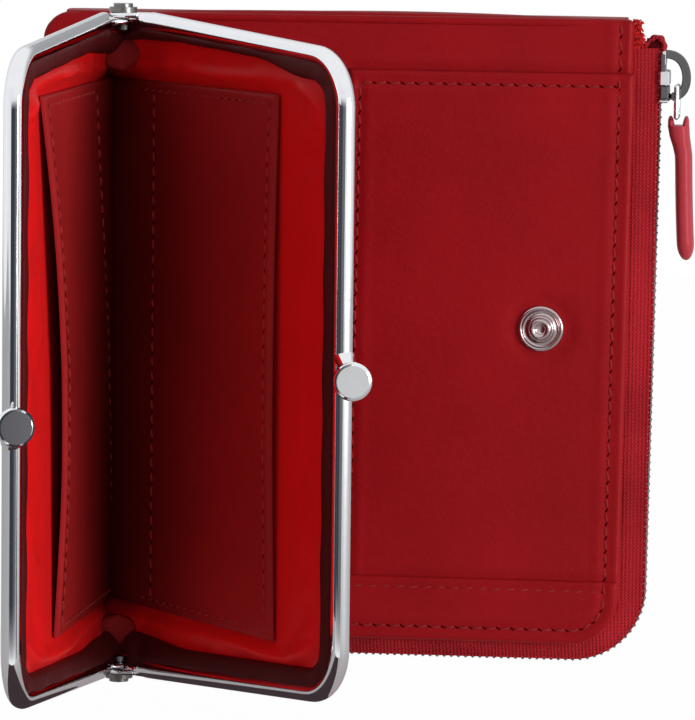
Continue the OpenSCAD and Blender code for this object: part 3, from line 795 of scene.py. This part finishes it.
def add_slider():
    """Slider body: a base plate whose metal is painted dark as shade, a lug and rims in plain bright metal,
    and a D-shaped bridge for the link, painted dark the same way.
    """
    low, high = box_mm("zip_slider")
    x = HALF_W + CHAIN_OUT + 0.35
    top, bottom = high[2] + 0.3, low[2] + 0.5

    def plate(low_x, low_y, low_z, high_x, high_y, high_z, round_off=0.2):
        return block((x + low_x, CHAIN_Y + low_y, low_z), (x + high_x, CHAIN_Y + high_y, high_z), round_off)

    lug = plate(-0.2, -2.85, bottom + 2.8, 1.5, 2.0, bottom + 5.5, 0.25)
    rim = plate(-0.25, -2.8, bottom - 0.1, 1.3, 2.75, bottom + 0.55)
    crown = plate(0.1, -2.5, top - 2.6, 0.8, 2.5, top)
    base = plate(-0.1, -2.6, bottom + 0.3, 0.7, 2.6, top - 0.5)
    mouth = plate(-0.1, -2.7, bottom + 0.5, 1.4, 2.2, bottom + 2.9, 0.25)
    middle = (top + bottom) / 2 + 0.1
    bow = [(x + 0.3 + 4.0 * max(0.0, cos(a)) ** 0.62, CHAIN_Y, middle + 3.65 * sin(a) - 0.5 * cos(a))
           for a in np.linspace(-pi / 2, pi / 2, 26)]
    bridge = tube(bow, [(0.9, 0.55), (0.7, 0.72), (-0.7, 0.72), (-0.9, 0.55), (-0.9, -0.55), (-0.7, -0.72),
                        (0.7, -0.72), (0.9, -0.55)], up=(1, 0, 0.001))
    add_piece("slider_lug", merge([lug, rim, crown]), zip_silver, "slider", "zip_metal", sharp=40)
    add_piece("slider_plate", merge([base, mouth, bridge]), slider_metal_shaded, "slider", "zip_metal", "zip_slider",
              sharp=40)


LOBE = [0.6, 0.8, 0.92, 1.0, 1.0, 1.0, 1.0, 0.98, 0.93, 0.84, 0.68, 0.35]


def add_pull():
    """The leather pull: a folded tongue, round at its end, whose top lobes pass either side of the link."""
    low, high = box_mm("zip_pull")
    x, y = (low[0] + high[0]) / 2 + 0.3, (low[1] + high[1]) / 2
    half_w, half_t = (high[1] - low[1]) / 2, (high[0] - low[0]) / 2
    top, bottom = high[2], low[2]
    shoulder = top - 2.9
    count, rings = 28, 26
    verts = []
    for k in range(rings):
        t = sin(pi / 2 * k / (rings - 1)) ** 0.9
        z = shoulder - (shoulder - bottom) * t
        end = max(0.0, 1 - (z - bottom) / half_w)
        round_off = sqrt(max(0.0, 1 - end ** 2)) if end > 0 else 1.0
        thick = half_t * (0.98 + 0.26 * exp(-((shoulder - z) / 3.0) ** 2)) * max(0.1, round_off)
        wide = half_w * (0.78 + 0.22 * min(1.0, t * 4)) * round_off
        drift = 0.95 * ease(t * 4) + 0.75 * t * t
        section = squircle(max(thick, 0.12), max(wide, 0.15), 0.7, 0.8, count)
        verts += [(x + drift + a, y + b, z) for a, b in section]
    parts = [(verts, [face[::-1] for face in capped(rings, count)])]
    for side in (-1, 1):
        path = [(x + side * (1.35 - 0.75 * (1 - t) ** 2), y, top - 5.2 + 3.9 * t)
                for t in np.linspace(0, 1, len(LOBE))]
        parts.append(tube(path, lambda k: squircle(1.8 * LOBE[k], 0.58 * LOBE[k], 1, 1, 16), up=(side, 0, 0)))
    add_piece("pull_leather", merge(parts), leather_pull, "pull", "leather", "zip_pull", sharp=60)


# ---- frame ----

def frame_rows(tab_z):
    """Upper half of a frame's path from its eyelet. Each row: u, v, z, half width along the plane, half depth
    across it, and how far the flat eyelet has grown into the round tube."""
    rows = []
    flat, eyelet_r = 0.45, 2.2
    for u in np.linspace(-2.17, 6.4, 22):
        moved, grown = ease((u - 1.2) / 2.9), ease((u - 3.6) / 2.8)
        disc = eyelet_r * sqrt(max(0.004, 1 - (u / eyelet_r) ** 2)) if u < 0 else eyelet_r
        rows.append((u, BAR_V * moved, tab_z + (frame_z(u) - tab_z) * grown,
                     flat + (TUBE_R - flat) * grown, disc + (TUBE_R - disc) * moved, grown))
    bar = [(u, frame_z(u)) for u in np.linspace(8, BEND_U, 28)]
    for k in range(1, 15):
        a = BEND * (1 - k / 14)
        bar.append((BEND_U + BEND_R * cos(a), BEND_Z + BEND_R * sin(a)))
    bar += [(ARM_L, z) for z in np.linspace(BEND_Z - 2, 0, 22)]
    return rows + [(u, BAR_V, z, TUBE_R, TUBE_R, 1.0) for u, z in bar]


def add_frame(name, place, tab_z, body):
    upper = frame_rows(tab_z)
    rows = upper + [(u, v, -z, *sizes) for u, v, z, *sizes in upper[-2::-1]]
    path = [(*place(u, v), z) for u, v, z, *_ in rows]
    out = np.array([*(np.array(place(0, 1)) - np.array(place(0, 0))), 0.0])

    def section(k):
        thin, wide, grown = rows[k][3:]
        power = 0.35 + 0.65 * grown
        return squircle(thin, wide, power, power, 28)

    add_piece(name + "_tube", tube(path, section, up=out), chrome, body, "frame_chrome", name, sharp=60)


def add_lock(name, place, disc_z, root_z, body):
    """A flat round head on a leaning stalk that grows wide where it meets the bar."""
    def at(u, v, z):
        return Vector((*place(u, v), z))

    tilt = radians(30)
    u, v = ARM_L + 4.9, BAR_V - 1.6
    head = at(u, v, disc_z)
    axis = (at(u + cos(tilt), v - sin(tilt), disc_z) - head).normalized()
    profile = [(0.02, 0.0), (2.2, 0.0), (2.75, 0.1), (3.0, 0.35), (3.1, 0.7), (3.1, 1.1), (3.04, 1.35),
               (2.88, 1.56), (2.62, 1.68), (2.52, 1.7), (0.02, 1.7)]
    root = at(ARM_L + 0.4, BAR_V, root_z)
    path = [tuple(root.lerp(head + axis * 0.3, t)) for t in np.linspace(0, 1, 12)]

    def section(k):
        t = k / 11
        return ring(0.95 + 0.75 * (1 - t) ** 2 + 0.35 * max(0.0, t - 0.8) * 5, 20)

    shape = merge([lathe(profile, head, axis, 56), tube(path, section, up=(0, 0.3, 1))])
    add_piece(name + "_head", shape, chrome, body, "frame_chrome", name, sharp=11)


# ---- coin bag ----

EDGE_CURL = 9.0
SKIN_Y = -0.95


def lower_inner(x):
    return -2.9 + (x - 3.5) * (-6.4 / 27.5) + 0.85


def seam_xy(x):
    return pouch_xy(x, (SKIN_Y + lower_inner(x)) / 2)


def seam_z(x):
    return 48.8 + 3.0 * (x - 5) / 32.5


def bag_anchors(pressed):
    """Anchors round the open bag, from bar to bar: middle point, edge point and half height. Pressed gives
    the lining's path, which lies flat against the rear wall below the line where the walls meet."""
    def skin_y(x):
        return SKIN_Y + 0.65 * ease((x - 93) / 5)

    rows = []
    for x in np.linspace(WALL_L - 1.1, 41, 26):
        u = x - HINGE_ALONG
        rows.append((pouch_xy(x, skin_y(x)), rear_frame_xy(u, BAR_V), frame_z(u) - 0.8))
    rows += [(pouch_xy(x, SKIN_Y), seam_xy(x), seam_z(x)) for x in np.linspace(37.5, 5, 14)]
    for x, y in ((3.1, -1.15), (2.6, -1.7), (3.3, -2.1)):
        rows.append((pouch_xy(x, y), pouch_xy(x + 0.6, -1.8), 48.6))
    if pressed:
        lower = [(pouch_xy(x, -2.3), x) for x in np.linspace(5, 25, 9)]
        lower += [(front_wall_xy(x, SKIN_Y), x - 1.5) for x in np.linspace(29.5, 37.5, 5)]
        lower += [(front_wall_xy(x, SKIN_Y), 37.5) for x in (39.5, 41.5, 43.0)]
    else:
        lower = [(pouch_xy(x, lower_inner(x)), x) for x in np.linspace(5, 31, 11)]
        start, end = np.array(lower[-1][0]), np.array(front_wall_xy(44.5, SKIN_Y))
        lower += [(tuple(start + (end - start) * t), 31 + 6.5 * t) for t in (0.25, 0.5, 0.75)]
    rows += [(middle, seam_xy(x), seam_z(x)) for middle, x in lower]
    for x in np.linspace(44.5, WALL_L - 1.1, 26):
        u = x - HINGE_ALONG
        reach = min(frame_z(u) - 0.8, 51.8 + 0.35 * (u - 5))
        rows.append((front_wall_xy(x, skin_y(x)), front_frame_xy(u, BAR_V), reach))
    return rows


class BagSurface:
    """The bag's inner face. A point's place is its distance a from the rear bar, round the bottom, and z."""

    def __init__(self, pressed, count=260):
        anchors = bag_anchors(pressed)
        along = run_length(np.array([middle for middle, _, _ in anchors]))
        columns = np.array([(*middle, *edge, reach) for middle, edge, reach in anchors]).T
        self.rows = np.linspace(0, along[-1], count) + 1.1
        self.table = np.stack([even_out(column, along, count) for column in columns], axis=1)
        self.end = along[-1] + 2.2
        self.side = 1.0
        inward = self.at(30.0, 0.0, 1.0) - self.at(30.0, 0.0, 0.0)
        middle = np.array(pouch_xy(60, -14)) - self.raw(30.0, 0.0)[:2]
        self.side = copysign(1.0, float(np.dot(inward[:2], middle)))

    def raw(self, a, z):
        mid_x, mid_y, edge_x, edge_y, reach = (np.interp(a, self.rows, column) for column in self.table.T)
        z = np.clip(z, -reach, reach)
        share = np.clip((np.abs(z) - (reach - EDGE_CURL)) / EDGE_CURL, 0, 1) ** 2.2
        return np.stack([mid_x + (edge_x - mid_x) * share, mid_y + (edge_y - mid_y) * share, z], axis=-1)

    def height(self, a):
        return np.interp(a, self.rows, self.table[:, 4])

    def at(self, a, z, inward=0.0):
        """A point of the surface, moved inward along its normal."""
        a, z = np.broadcast_arrays(np.asarray(a, float), np.asarray(z, float))
        d = 0.4
        along = self.raw(np.minimum(a + d, self.rows[-1]), z) - self.raw(np.maximum(a - d, self.rows[0]), z)
        reach = self.height(a) - 0.05
        upward = self.raw(a, np.minimum(z + d, reach)) - self.raw(a, np.maximum(z - d, -reach))
        normal = np.cross(along, upward)
        normal /= np.linalg.norm(normal, axis=-1, keepdims=True) + 1e-12
        return self.raw(a, z) + normal * np.asarray(inward)[..., None] * self.side

    def front(self, u):
        """The distance a for the distance u from the hinge along the front wall."""
        return self.end - (ARM_L - u)

    def grid(self, rows, columns):
        """An even grid of (a, z) over the whole bag, closer together near the frame."""
        a = np.linspace(self.rows[0], self.rows[-1], rows)
        w = np.linspace(-1, 1, columns)
        w = np.sign(w) * (1 - (1 - np.abs(w)) ** 1.15)
        return np.repeat(a[:, None], columns, axis=1), self.height(a)[:, None] * w[None, :]

    def inside_rim(self, a, z):
        """Distance from the nearest rim."""
        ends = np.minimum(a - self.rows[0], self.rows[-1] - a)
        return np.minimum(ends, self.height(a) - np.abs(z))


liner = BagSurface(pressed=True)
shell_side = BagSurface(pressed=False)
bag, front_a = liner.at, liner.front
jaw_start, jaw_end = ((*(c * MM for c in pouch_xy(HINGE_ALONG, y)), 0.0) for y in (-7.5, -10.5))
JAW_BLEND = ("pouch", "front_jaw", jaw_start, jaw_end)


def rear_a(t):
    """The distance a for the distance t from the spine along the rear wall."""
    return WALL_L - t


POCKET_Z = 44.0
SEAM_IN = 1.6
FRONT_FLOOR = -11.5
REAR_FLOOR = 20.0
REAR_MOUTH = 81.4
REAR_SEAM = 42.8


def front_mouth(z):
    """Distance from the hinge of the front pocket's slanting mouth at the height z."""
    return np.interp(z, [-POCKET_Z, 0, POCKET_Z], [35.5, 39.3, 48.5])


def front_deep(z):
    """Distance from the hinge of the front pocket's deep seam at the height z."""
    return np.interp(z, [-POCKET_Z, 0, POCKET_Z], [-12.6, -6.3, 5.6])


CLOTH_SCALE = 0.01
CLOTH_FRAMES = 34
CLOTH = {"quality": 6, "mass": 0.15, "tension_stiffness": 12, "compression_stiffness": 12,
         "shear_stiffness": 3, "bending_stiffness": 0.6, "air_damping": 2, "vertex_group_mass": "pinned",
         "pin_stiffness": 2.0, "shrink_min": -0.06, "shrink_max": -0.06}


def simulate_lining(points, loose):
    """Lets the lining cloth grow against its pinned rim, so that it buckles as slack satin does."""
    n, m = points.shape[:2]
    mesh = bpy.data.meshes.new("lining_sim")
    mesh.from_pydata([tuple(p * CLOTH_SCALE) for p in points.reshape(-1, 3)], [], grid_faces(n, m))
    mesh.update()
    obj = bpy.data.objects.new("lining_sim", mesh)
    bpy.context.scene.collection.objects.link(obj)
    pinned = obj.vertex_groups.new(name="pinned")
    for k, weight in enumerate(np.clip(1 - loose, 0, 1).ravel()):
        pinned.add([k], float(weight), "REPLACE")
    cloth = obj.modifiers.new("cloth", "CLOTH")
    for key, value in CLOTH.items():
        setattr(cloth.settings, key, value)
    cloth.settings.effector_weights.gravity = 0.0
    cloth.point_cache.frame_start = 1
    cloth.point_cache.frame_end = CLOTH_FRAMES
    cloth.collision_settings.use_self_collision = False
    for frame_number in range(1, CLOTH_FRAMES + 1):
        bpy.context.scene.frame_set(frame_number)
    settled = obj.evaluated_get(bpy.context.evaluated_depsgraph_get())
    flat = np.zeros(n * m * 3)
    settled.to_mesh().vertices.foreach_get("co", flat)
    settled.to_mesh_clear()
    bpy.context.scene.frame_set(1)
    bpy.data.objects.remove(obj)
    bpy.data.meshes.remove(mesh)
    return flat.reshape(n, m, 3) / CLOTH_SCALE


def loose_map(a, z):
    """Where the lining is slack: the strips between each pocket's mouth and the bar, and the corners."""
    rear = 0.8 * np.clip((rear_a(REAR_MOUTH) - 1.0 - a) / 6, 0, 1)
    front = np.clip((a - front_a(front_mouth(z)) - 1.0) / 6, 0, 1)
    ends = np.clip((np.abs(z) - POCKET_Z - 0.6) / 2.5, 0, 1)
    slack = np.maximum(np.maximum(rear, front), ends)
    return slack * np.clip((liner.inside_rim(a, z) - 2.6) / 2.0, 0, 1)


def blur(field, times):
    """Averages each grid value with its neighbours, to leave only the broad folds."""
    for _ in range(times):
        padded = np.pad(field, 1, mode="edge")
        field = (padded[:-2, 1:-1] + padded[2:, 1:-1] + padded[1:-1, :-2] + padded[1:-1, 2:] + 4 * field) / 8
    return field


def end_folds(a, z):
    """The broad fold of slack satin that runs along each end of the bag and dips towards the bars."""
    from_bar = np.minimum(a - liner.rows[0], liner.rows[-1] - a)
    crest = 46.0 - 5.0 * np.exp(-(from_bar / 8.0) ** 2) + 0.5 * np.sin(a / 8.0)
    past = np.abs(z) - crest
    ridge = np.exp(-(past / 0.95) ** 2) - 0.45 * np.exp(-((past - 2.0) / 0.8) ** 2)
    side_fold = 0.5 * np.exp(-((past + 3.2 - 0.10 * from_bar) / 0.9) ** 2)
    return (1.35 * ridge + side_fold) * (0.75 + 0.4 * waves_2d(a, z, 26.0, 5))


def add_lining(a, z):
    """The satin: pinned under the pockets, buckled by the simulation and folded at both ends of the bag."""
    base = bag(a, z, np.zeros_like(a))
    loose = loose_map(a, z)
    moved = simulate_lining(bag(a, z, (0.10 * waves_2d(a, z, 9.0, 21) + 0.15) * loose), loose)
    normal = bag(a, z, np.ones_like(a)) - base
    shift = moved - base
    lift = np.sum(shift * normal, axis=-1)
    slide = shift - normal * lift[..., None]
    lift = blur(lift, 5)
    room = 0.7 + 2.2 * np.clip((np.abs(z) - 38) / 7, 0, 1)
    lift = np.where(lift > 0, room * np.tanh(lift / room), 0.4 * np.tanh(lift / 0.4)) + 0.30 * loose
    lift += end_folds(a, z) * np.clip(loose * 1.5, 0, 1)
    far = np.linalg.norm(slide, axis=-1, keepdims=True) / 1.5
    slide = slide * np.tanh(far) / (far + 1e-9) * np.clip(loose * 3, 0, 1)[..., None]
    face = base + slide + normal * lift[..., None]
    back = base - normal * (0.42 * np.clip(liner.inside_rim(a, z) / 2, 0, 1) ** 0.6 + 0.05)[..., None]
    lining = make("pouch_lining", *shell(face, back), satin_red, sharp=80)
    smooth = lining.modifiers.new("smooth", "SUBSURF")
    smooth.levels = 1
    smooth.render_levels = smooth.levels
    attach(lining, JAW_BLEND, "lining", "rear_lining", "front_wall_lining", "lower_front_lining",
           "gusset_top", "gusset_bottom")


def add_bag():
    """The satin lining, and the outer leather behind it."""
    grid_size = ((172, 92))
    add_lining(*liner.grid(*grid_size))
    a, z = shell_side.grid(*grid_size)
    fade = np.clip(shell_side.inside_rim(a, z) / 3, 0, 1) ** 0.6
    near = shell_side.at(a, z, -(0.55 * fade + 0.1))
    far = shell_side.at(a, z, -(1.75 * fade + 0.3 + 0.12 * waves_2d(a, z, 30.0, 9) * fade))
    add_piece("pouch_leather", shell(near, far), leather_red, JAW_BLEND, "leather", "rear_wall", "front_wall",
              "lower_front_wall", "bag_bottom", sharp=60)


def patch(a_of, rows, columns, lift, thickness=0.9, curl=0.5):
    """A patch lying on the bag's inner face. a_of(s, z) is its distance from the rear bar, s from 0 to 1."""
    s = np.concatenate([[0, 0.004, 0.012], np.linspace(0, 1, rows)[1:-1], [0.988, 0.996, 1]])
    inner_z = np.linspace(-POCKET_Z, POCKET_Z, columns)[1:-1]
    rim_z = np.array([0, 0.15, 0.45])
    z = np.concatenate([rim_z - POCKET_Z, inner_z, POCKET_Z - rim_z[::-1]])
    s, z = np.meshgrid(s, z, indexing="ij")
    a = a_of(s, z)
    span = np.abs(a_of(np.ones_like(s), z) - a_of(np.zeros_like(s), z))
    inset = np.minimum(np.minimum(s, 1 - s) * span, POCKET_Z - np.abs(z))
    rounding = np.clip(1 - inset / curl, 0, 1)
    raised = lift(a, z, s)
    depth = raised + thickness - (1 - np.sqrt(np.clip(1 - rounding ** 2, 0, 1))) * thickness * 0.8
    return shell(bag(a, z, depth), bag(a, z, np.minimum(raised, depth - 0.12)))


def patch_line(a, z, depth):
    """A stitch path on the bag's surface with the normal that its threads stand on."""
    points = bag(a, z, depth + 0 * z)
    normal = (bag(a, z, depth + 1.0 + 0 * z) - points).mean(axis=0)
    return points, normal / np.linalg.norm(normal)


def add_pockets():
    """The two slip pockets, whose mouths sag open in the middle, and their stitches."""
    def rear_span(s, z):
        return rear_a(REAR_MOUTH + (REAR_FLOOR - REAR_MOUTH) * s)

    def front_span(s, z):
        mouth = front_mouth(z)
        return front_a(mouth + (FRONT_FLOOR - mouth) * s)

    def lift(sag, reach, seed):
        return lambda a, z, s: (0.3 + sag * np.exp(-(s / reach) ** 2) * (1 - (z / POCKET_Z) ** 2)
                                + 0.10 * waves_2d(a, z, 34.0, seed))

    rear = patch(rear_span, 60, 90, lift(0.8, 0.12, 31))
    add_piece("rear_pocket", rear, leather_inner, "pouch", "leather", "rear_slip_pocket", sharp=60)
    front = patch(front_span, 70, 90, lift(2.0, 0.1, 37))
    add_piece("front_pocket", front, leather_inner, JAW_BLEND, "leather", "front_slip_pocket", sharp=60)

    end = POCKET_Z - SEAM_IN
    z = np.linspace(-end, end, 80)
    bow = 1 - (z / POCKET_Z) ** 2
    rear_rows = [patch_line(rear_a(REAR_MOUTH - SEAM_IN) + 0 * z, z, 1.2 + 0.75 * bow),
                 patch_line(rear_a(REAR_SEAM) + 0 * z, z, 1.2)]
    front_rows = [patch_line(front_a(front_mouth(z) - SEAM_IN), z, 1.2 + 1.9 * bow),
                  patch_line(front_a(front_deep(z) + 2.3), z, 1.2)]
    for level in (-end, end):
        z = np.full(40, level)
        rear_rows.append(patch_line(rear_a(np.linspace(REAR_MOUTH - 2.5, 39, 40)), z, 1.15))
        u = np.linspace(front_mouth(level) - 2.5, front_deep(level) + 3.5, 40)
        front_rows.append(patch_line(front_a(u), z, 1.15))
    sewn("rear_pocket_stitch", rear_rows, "pouch")
    sewn("front_pocket_stitch", front_rows, JAW_BLEND)


def add_facing(name, a_of, place, body, top_share=1.0):
    """The strip stitched in beside the frame, coloured dark as painted shade. top_share is how much of its
    width the upper arm shows.
    """
    upper = [(u, frame_z(u)) for u in np.arange(0.4, 6.4, 0.6)]
    upper += [(u, z) for u, _, z, *_ in frame_rows(PIVOT_Z) if u > 6.4]
    path = np.array(upper + [(u, -z) for u, z in upper[-2::-1]])
    path = path[np.concatenate([[True], np.linalg.norm(np.diff(path, axis=0), axis=1) > 0.05])]
    forward = unit(np.gradient(path, axis=0))
    inward = np.stack([forward[:, 1], -forward[:, 0]], axis=1)
    offsets = np.array([0.2, 0.9, 1.6, 2.3, 3.0, 3.6, 3.9])
    heights = np.array([0.9, 1.25, 1.35, 1.35, 1.3, 1.1, 0.5])
    width = 1 + 0.5 * np.clip((16 - path[:, 0]) / 16, 0, 1)
    covered = [ease((0.84 * ARM_L - u) / (0.24 * ARM_L)) if z > 0 else 0.0 for u, z in path]
    width *= 1 - (1 - top_share) * np.array(covered)
    inset = offsets[None, :, None] * width[:, None, None]
    u, z = (path[:, None, :] + inward[:, None, :] * inset).transpose(2, 0, 1)
    a = a_of(np.minimum(u, ARM_L - 1.0))
    ripple = 0.10 * np.sin(np.arange(len(path)) * 0.8)[:, None]
    face = bag(a, z, heights + ripple)
    back = bag(a, z, np.minimum(heights - 0.55, 0.2) + 0 * ripple)
    for sheet, set_back in ((face, 0.0), (back, 0.3)):
        sheet[:, 0] = [(*place(u, BAR_V * ease((u - 1.2) / 2.9) - set_back), z) for u, z in path]
    add_piece(name, shell(face, back), facing_shaded_red, body, "lining", sharp=80)


def add_gusset_tabs():
    """Small rounded leather tabs that finish the seam under each hinge."""
    count, top_z, drop, half_w = 18, 53.3, 7.8, 3.3
    across = np.linspace(-1, 1, 11)
    parts = []
    for side in (-1, 1):
        sheets = [], []
        for k in range(count + 1):
            t = k / count
            z = side * (top_z - drop * t)
            tip = sqrt(max(0.01, 1 - max(0.0, (t - 0.7) / 0.3) ** 2.4))
            half = half_w * (0.75 + 0.25 * sin(t * pi)) * tip
            bulge = 0.9 * sin(t * pi * 0.8)
            rows = [], []
            for w in across:
                x, y = pouch_xy(HINGE_ALONG - 2.0 + 0.4 * w * half, -HINGE_IN + w * half)
                dx, dy = turn(-POUCH_OPEN, 0.5 + bulge + 0.7 * sqrt(max(0.0, 1 - w * w)), 0)
                rows[0].append((x + dx, y + dy, z))
                rows[1].append((x - dx * 0.1, y - dy * 0.1, z))
            for sheet, row in zip(sheets, rows):
                sheet.append(row)
        parts.append(shell(*(np.array(sheet)[::-side] for sheet in sheets)))
    add_piece("gusset_tabs", merge(parts), leather_inner, "pouch", "leather", sharp=60)


def add_fold():
    """The leather that folds from the wallet's front, over its left edge, to the pouch's back."""
    low, high = box_mm("fold_strip")
    points = [(high[0], low[1] + 0.55), (high[0] - 2.5, low[1] + 0.4), (low[0] + 1.5, low[1] + 0.2)]
    points += [(SPINE[0] - 1.3, low[1] - 0.6), (SPINE[0] - 1.5, SPINE[1] + 0.4)]
    points += [pouch_xy(x, y) for x, y in ((1.2, 0.7), (3.0, 0.75), (7.0, 0.55), (10.0, 0.4))]
    points = np.array(points)
    count = 60
    path = np.stack([even_out(column, run_length(points), count, 3.0) for column in points.T], axis=1)
    slope = unit(np.gradient(path, axis=0))
    across = np.stack([-slope[:, 1], slope[:, 0]], axis=1)
    z = np.broadcast_to(np.linspace(-47.6, 47.6, count), (count, count))
    sheets = []
    for half in (0.5, -0.5):
        flat = np.repeat((path + across * half)[:, None], count, axis=1)
        sheets.append(np.concatenate([flat, z[..., None]], axis=-1))
    start, end = (((SPINE[0] + x) * MM, (SPINE[1] + y) * MM, 0.0) for x, y in ((0.6, 1.6), (0.4, -0.9)))
    body = ("wallet", "pouch", start, end)
    add_piece("fold_leather", shell(*sheets), leather_red, body, "leather", "fold_strip", sharp=60)


# ---- camera, light and floor ----

CAMERA_TARGET = Vector((2.64, -11.0, -5.69)) * MM
CAMERA_BACK = 0.94765
CAMERA_RISE = radians(6.28)
CAMERA_TURN = radians(6.72)
CAMERA_ROLL = radians(0.64)
CAMERA_LENS = 275.54
FLOOR_Z = -76.0
FLOOR_HALF = 900
GREY_STOPS = ((0.0, 0.6), (0.14, 0.85), (0.20, 0.9), (0.30, 0.95), (0.45, 0.85), (0.55, 0.9), (0.72, 0.95),
              (0.80, 0.85), (0.86, 0.5), (1.0, 0.3))


def add_camera():
    rise, swing, roll = CAMERA_RISE, CAMERA_TURN, CAMERA_ROLL
    back = Vector((sin(swing) * cos(rise), -cos(swing) * cos(rise), sin(rise)))
    right = Vector((cos(swing), sin(swing), 0))
    up = back.cross(right)
    across = right * cos(roll) + up * sin(roll)
    above = up * cos(roll) - right * sin(roll)
    data = bpy.data.cameras.new("camera")
    data.lens = CAMERA_LENS
    data.sensor_width = 36
    data.clip_start = 0.05
    data.clip_end = 20
    camera = bpy.data.objects.new("camera", data)
    bpy.context.scene.collection.objects.link(camera)
    turned = Matrix((across, above, back)).transposed().to_4x4()
    camera.matrix_world = Matrix.Translation(CAMERA_TARGET + back * CAMERA_BACK) @ turned
    bpy.context.scene.camera = camera


def add_area(name, place, aim, size, power):
    data = bpy.data.lights.new(name, "AREA")
    data.shape = "RECTANGLE"
    data.size, data.size_y = size
    data.energy = power
    light = bpy.data.objects.new(name, data)
    light.location = place
    light.rotation_euler = (Vector(aim) - Vector(place)).to_track_quat("-Z", "Y").to_euler()
    bpy.context.scene.collection.objects.link(light)


def add_world():
    """White behind the object. Mirror rays see white boxes all round and above, and grey behind the right."""
    scene = bpy.context.scene
    scene.world = bpy.data.worlds.new("studio")
    net = Nodes(scene.world, "Generated")
    split = net.add("SeparateXYZ", Vector=net.place).outputs
    angle = net.math("ARCTAN2", split["X"], net.math("MULTIPLY", split["Y"], -1.0))
    ramp = net.add("ValToRGB", Fac=net.spread(angle, -pi, pi))
    band = ramp.color_ramp
    while len(band.elements) < len(GREY_STOPS):
        band.elements.new(0.5)
    for element, (at, level) in zip(band.elements, GREY_STOPS):
        element.position = at
        element.color = (level, level, level * 1.04, 1)
    overhead = net.spread(split["Z"], 0.25, 0.7, interpolation_type="SMOOTHSTEP")
    mirrored = net.mix(overhead, ramp.outputs["Color"], (0.95, 0.95, 0.97))
    ray = net.add("LightPath").outputs
    ambient = net.mix(ray["Is Camera Ray"], (0.35, 0.35, 0.36), (1, 1, 1))
    seen = net.mix(ray["Is Glossy Ray"], ambient, mirrored)
    net.put(net.tree.nodes["Background"], Color=seen, Strength=1.0)
    scene.view_settings.view_transform = "Standard"
    scene.view_settings.look = "None"


def add_card(name, corners, mat):
    """A dark stage card that only the polished metal sees."""
    card = make(name, corners, [(0, 1, 2, 3)], mat, smooth=False)
    card.visible_camera = False
    card.visible_diffuse = False
    card.visible_shadow = False
    card.visible_transmission = False


def add_cards():
    """Two upright cards between the bag and the camera, and one below that the underside of the bars sees."""
    net = Nodes(bpy.data.materials.new("flag_dark"))
    split = net.add("SeparateXYZ", Vector=net.place).outputs
    tone = net.mix(net.spread(split["X"], -0.02, 0.002), (0.04, 0.046, 0.06), (0.17, 0.165, 0.175))
    ends = net.spread(net.math("ABSOLUTE", split["Z"]), 0.042, 0.062, interpolation_type="SMOOTHSTEP")
    net.shine(Color=net.mix(ends, tone, (0.9, 0.9, 0.92)))
    for name, left, right, tall in (("flag_wide", (-53.6, -165.7), (25.6, -147.5), 66),
                                    ("flag_near", (-33.0, -110.3), (-13.0, -121.2), 44)):
        add_card(name, [(*left, -tall), (*right, -tall), (*right, tall), (*left, tall)], net.owner)
    net = Nodes(bpy.data.materials.new("flag_low_dark"))
    net.shine(Color=(0.05, 0.035, 0.04, 1))
    corners = [(x, y, FLOOR_Z + 2) for x, y in ((-60, -190), (12, -190), (12, -14), (-60, -14))]
    add_card("flag_low", corners, net.owner)


def add_floor():
    """A pale floor that the camera sees as almost pure white."""
    net = Nodes(bpy.data.materials.new("floor_white"))
    net.surface(Base_Color=net.mix(net.noise(4.0), (0.93, 0.93, 0.93), (0.96, 0.96, 0.96)), Roughness=0.9)
    lit = net.math("MULTIPLY", net.add("LightPath").outputs["Is Camera Ray"], 0.98)
    glow = net.add("Emission", Color=(1, 1, 1, 1), Strength=1.0)
    share = net.add("MixShader", Fac=lit)
    net.tree.links.new(net.tree.nodes["Principled BSDF"].outputs[0], share.inputs[1])
    net.tree.links.new(glow.outputs[0], share.inputs[2])
    net.put(net.tree.nodes["Material Output"], Surface=share.outputs[0])
    corners = [(x * FLOOR_HALF, y * FLOOR_HALF, FLOOR_Z) for x, y in ((-1, -1), (1, -1), (1, 1), (-1, 1))]
    make("floor", corners, [(0, 1, 2, 3)], net.owner, smooth=False)


def add_studio():
    add_camera()
    add_world()
    add_area("key", (0.80, -0.62, 0.10), (0, -0.03, 0), (0.5, 0.4), 6.0)
    add_area("low", (0.15, -0.85, -0.38), (-0.02, -0.05, 0.03), (0.6, 0.12), 1.9)
    add_cards()
    add_floor()


# ---- the object ----

add_wallet_leather()
add_back_and_edges()
add_insides()
add_snap()
add_zip()
add_slider()
add_pull()
add_frame("rear_frame", rear_frame_xy, PIVOT_Z + 0.55, "pouch")
add_frame("front_frame", front_frame_xy, PIVOT_Z - 0.55, "front_jaw")
add_lock("rear_lock", rear_frame_xy, 0.5, 3.5, "pouch")
add_lock("front_lock", front_frame_xy, -6.0, -9.0, "front_jaw")
paint("hinge_rivets", dark_steel, 0.2)
paint("rear_cord", cord_tan)
paint("front_cord", cord_tan)
add_bag()
add_pockets()
add_facing("rear_facing", lambda u: rear_a(HINGE_ALONG + u), rear_frame_xy, "pouch", 0.55)
add_facing("front_facing", front_a, front_frame_xy, JAW_BLEND)
add_gusset_tabs()
add_fold()
add_studio()
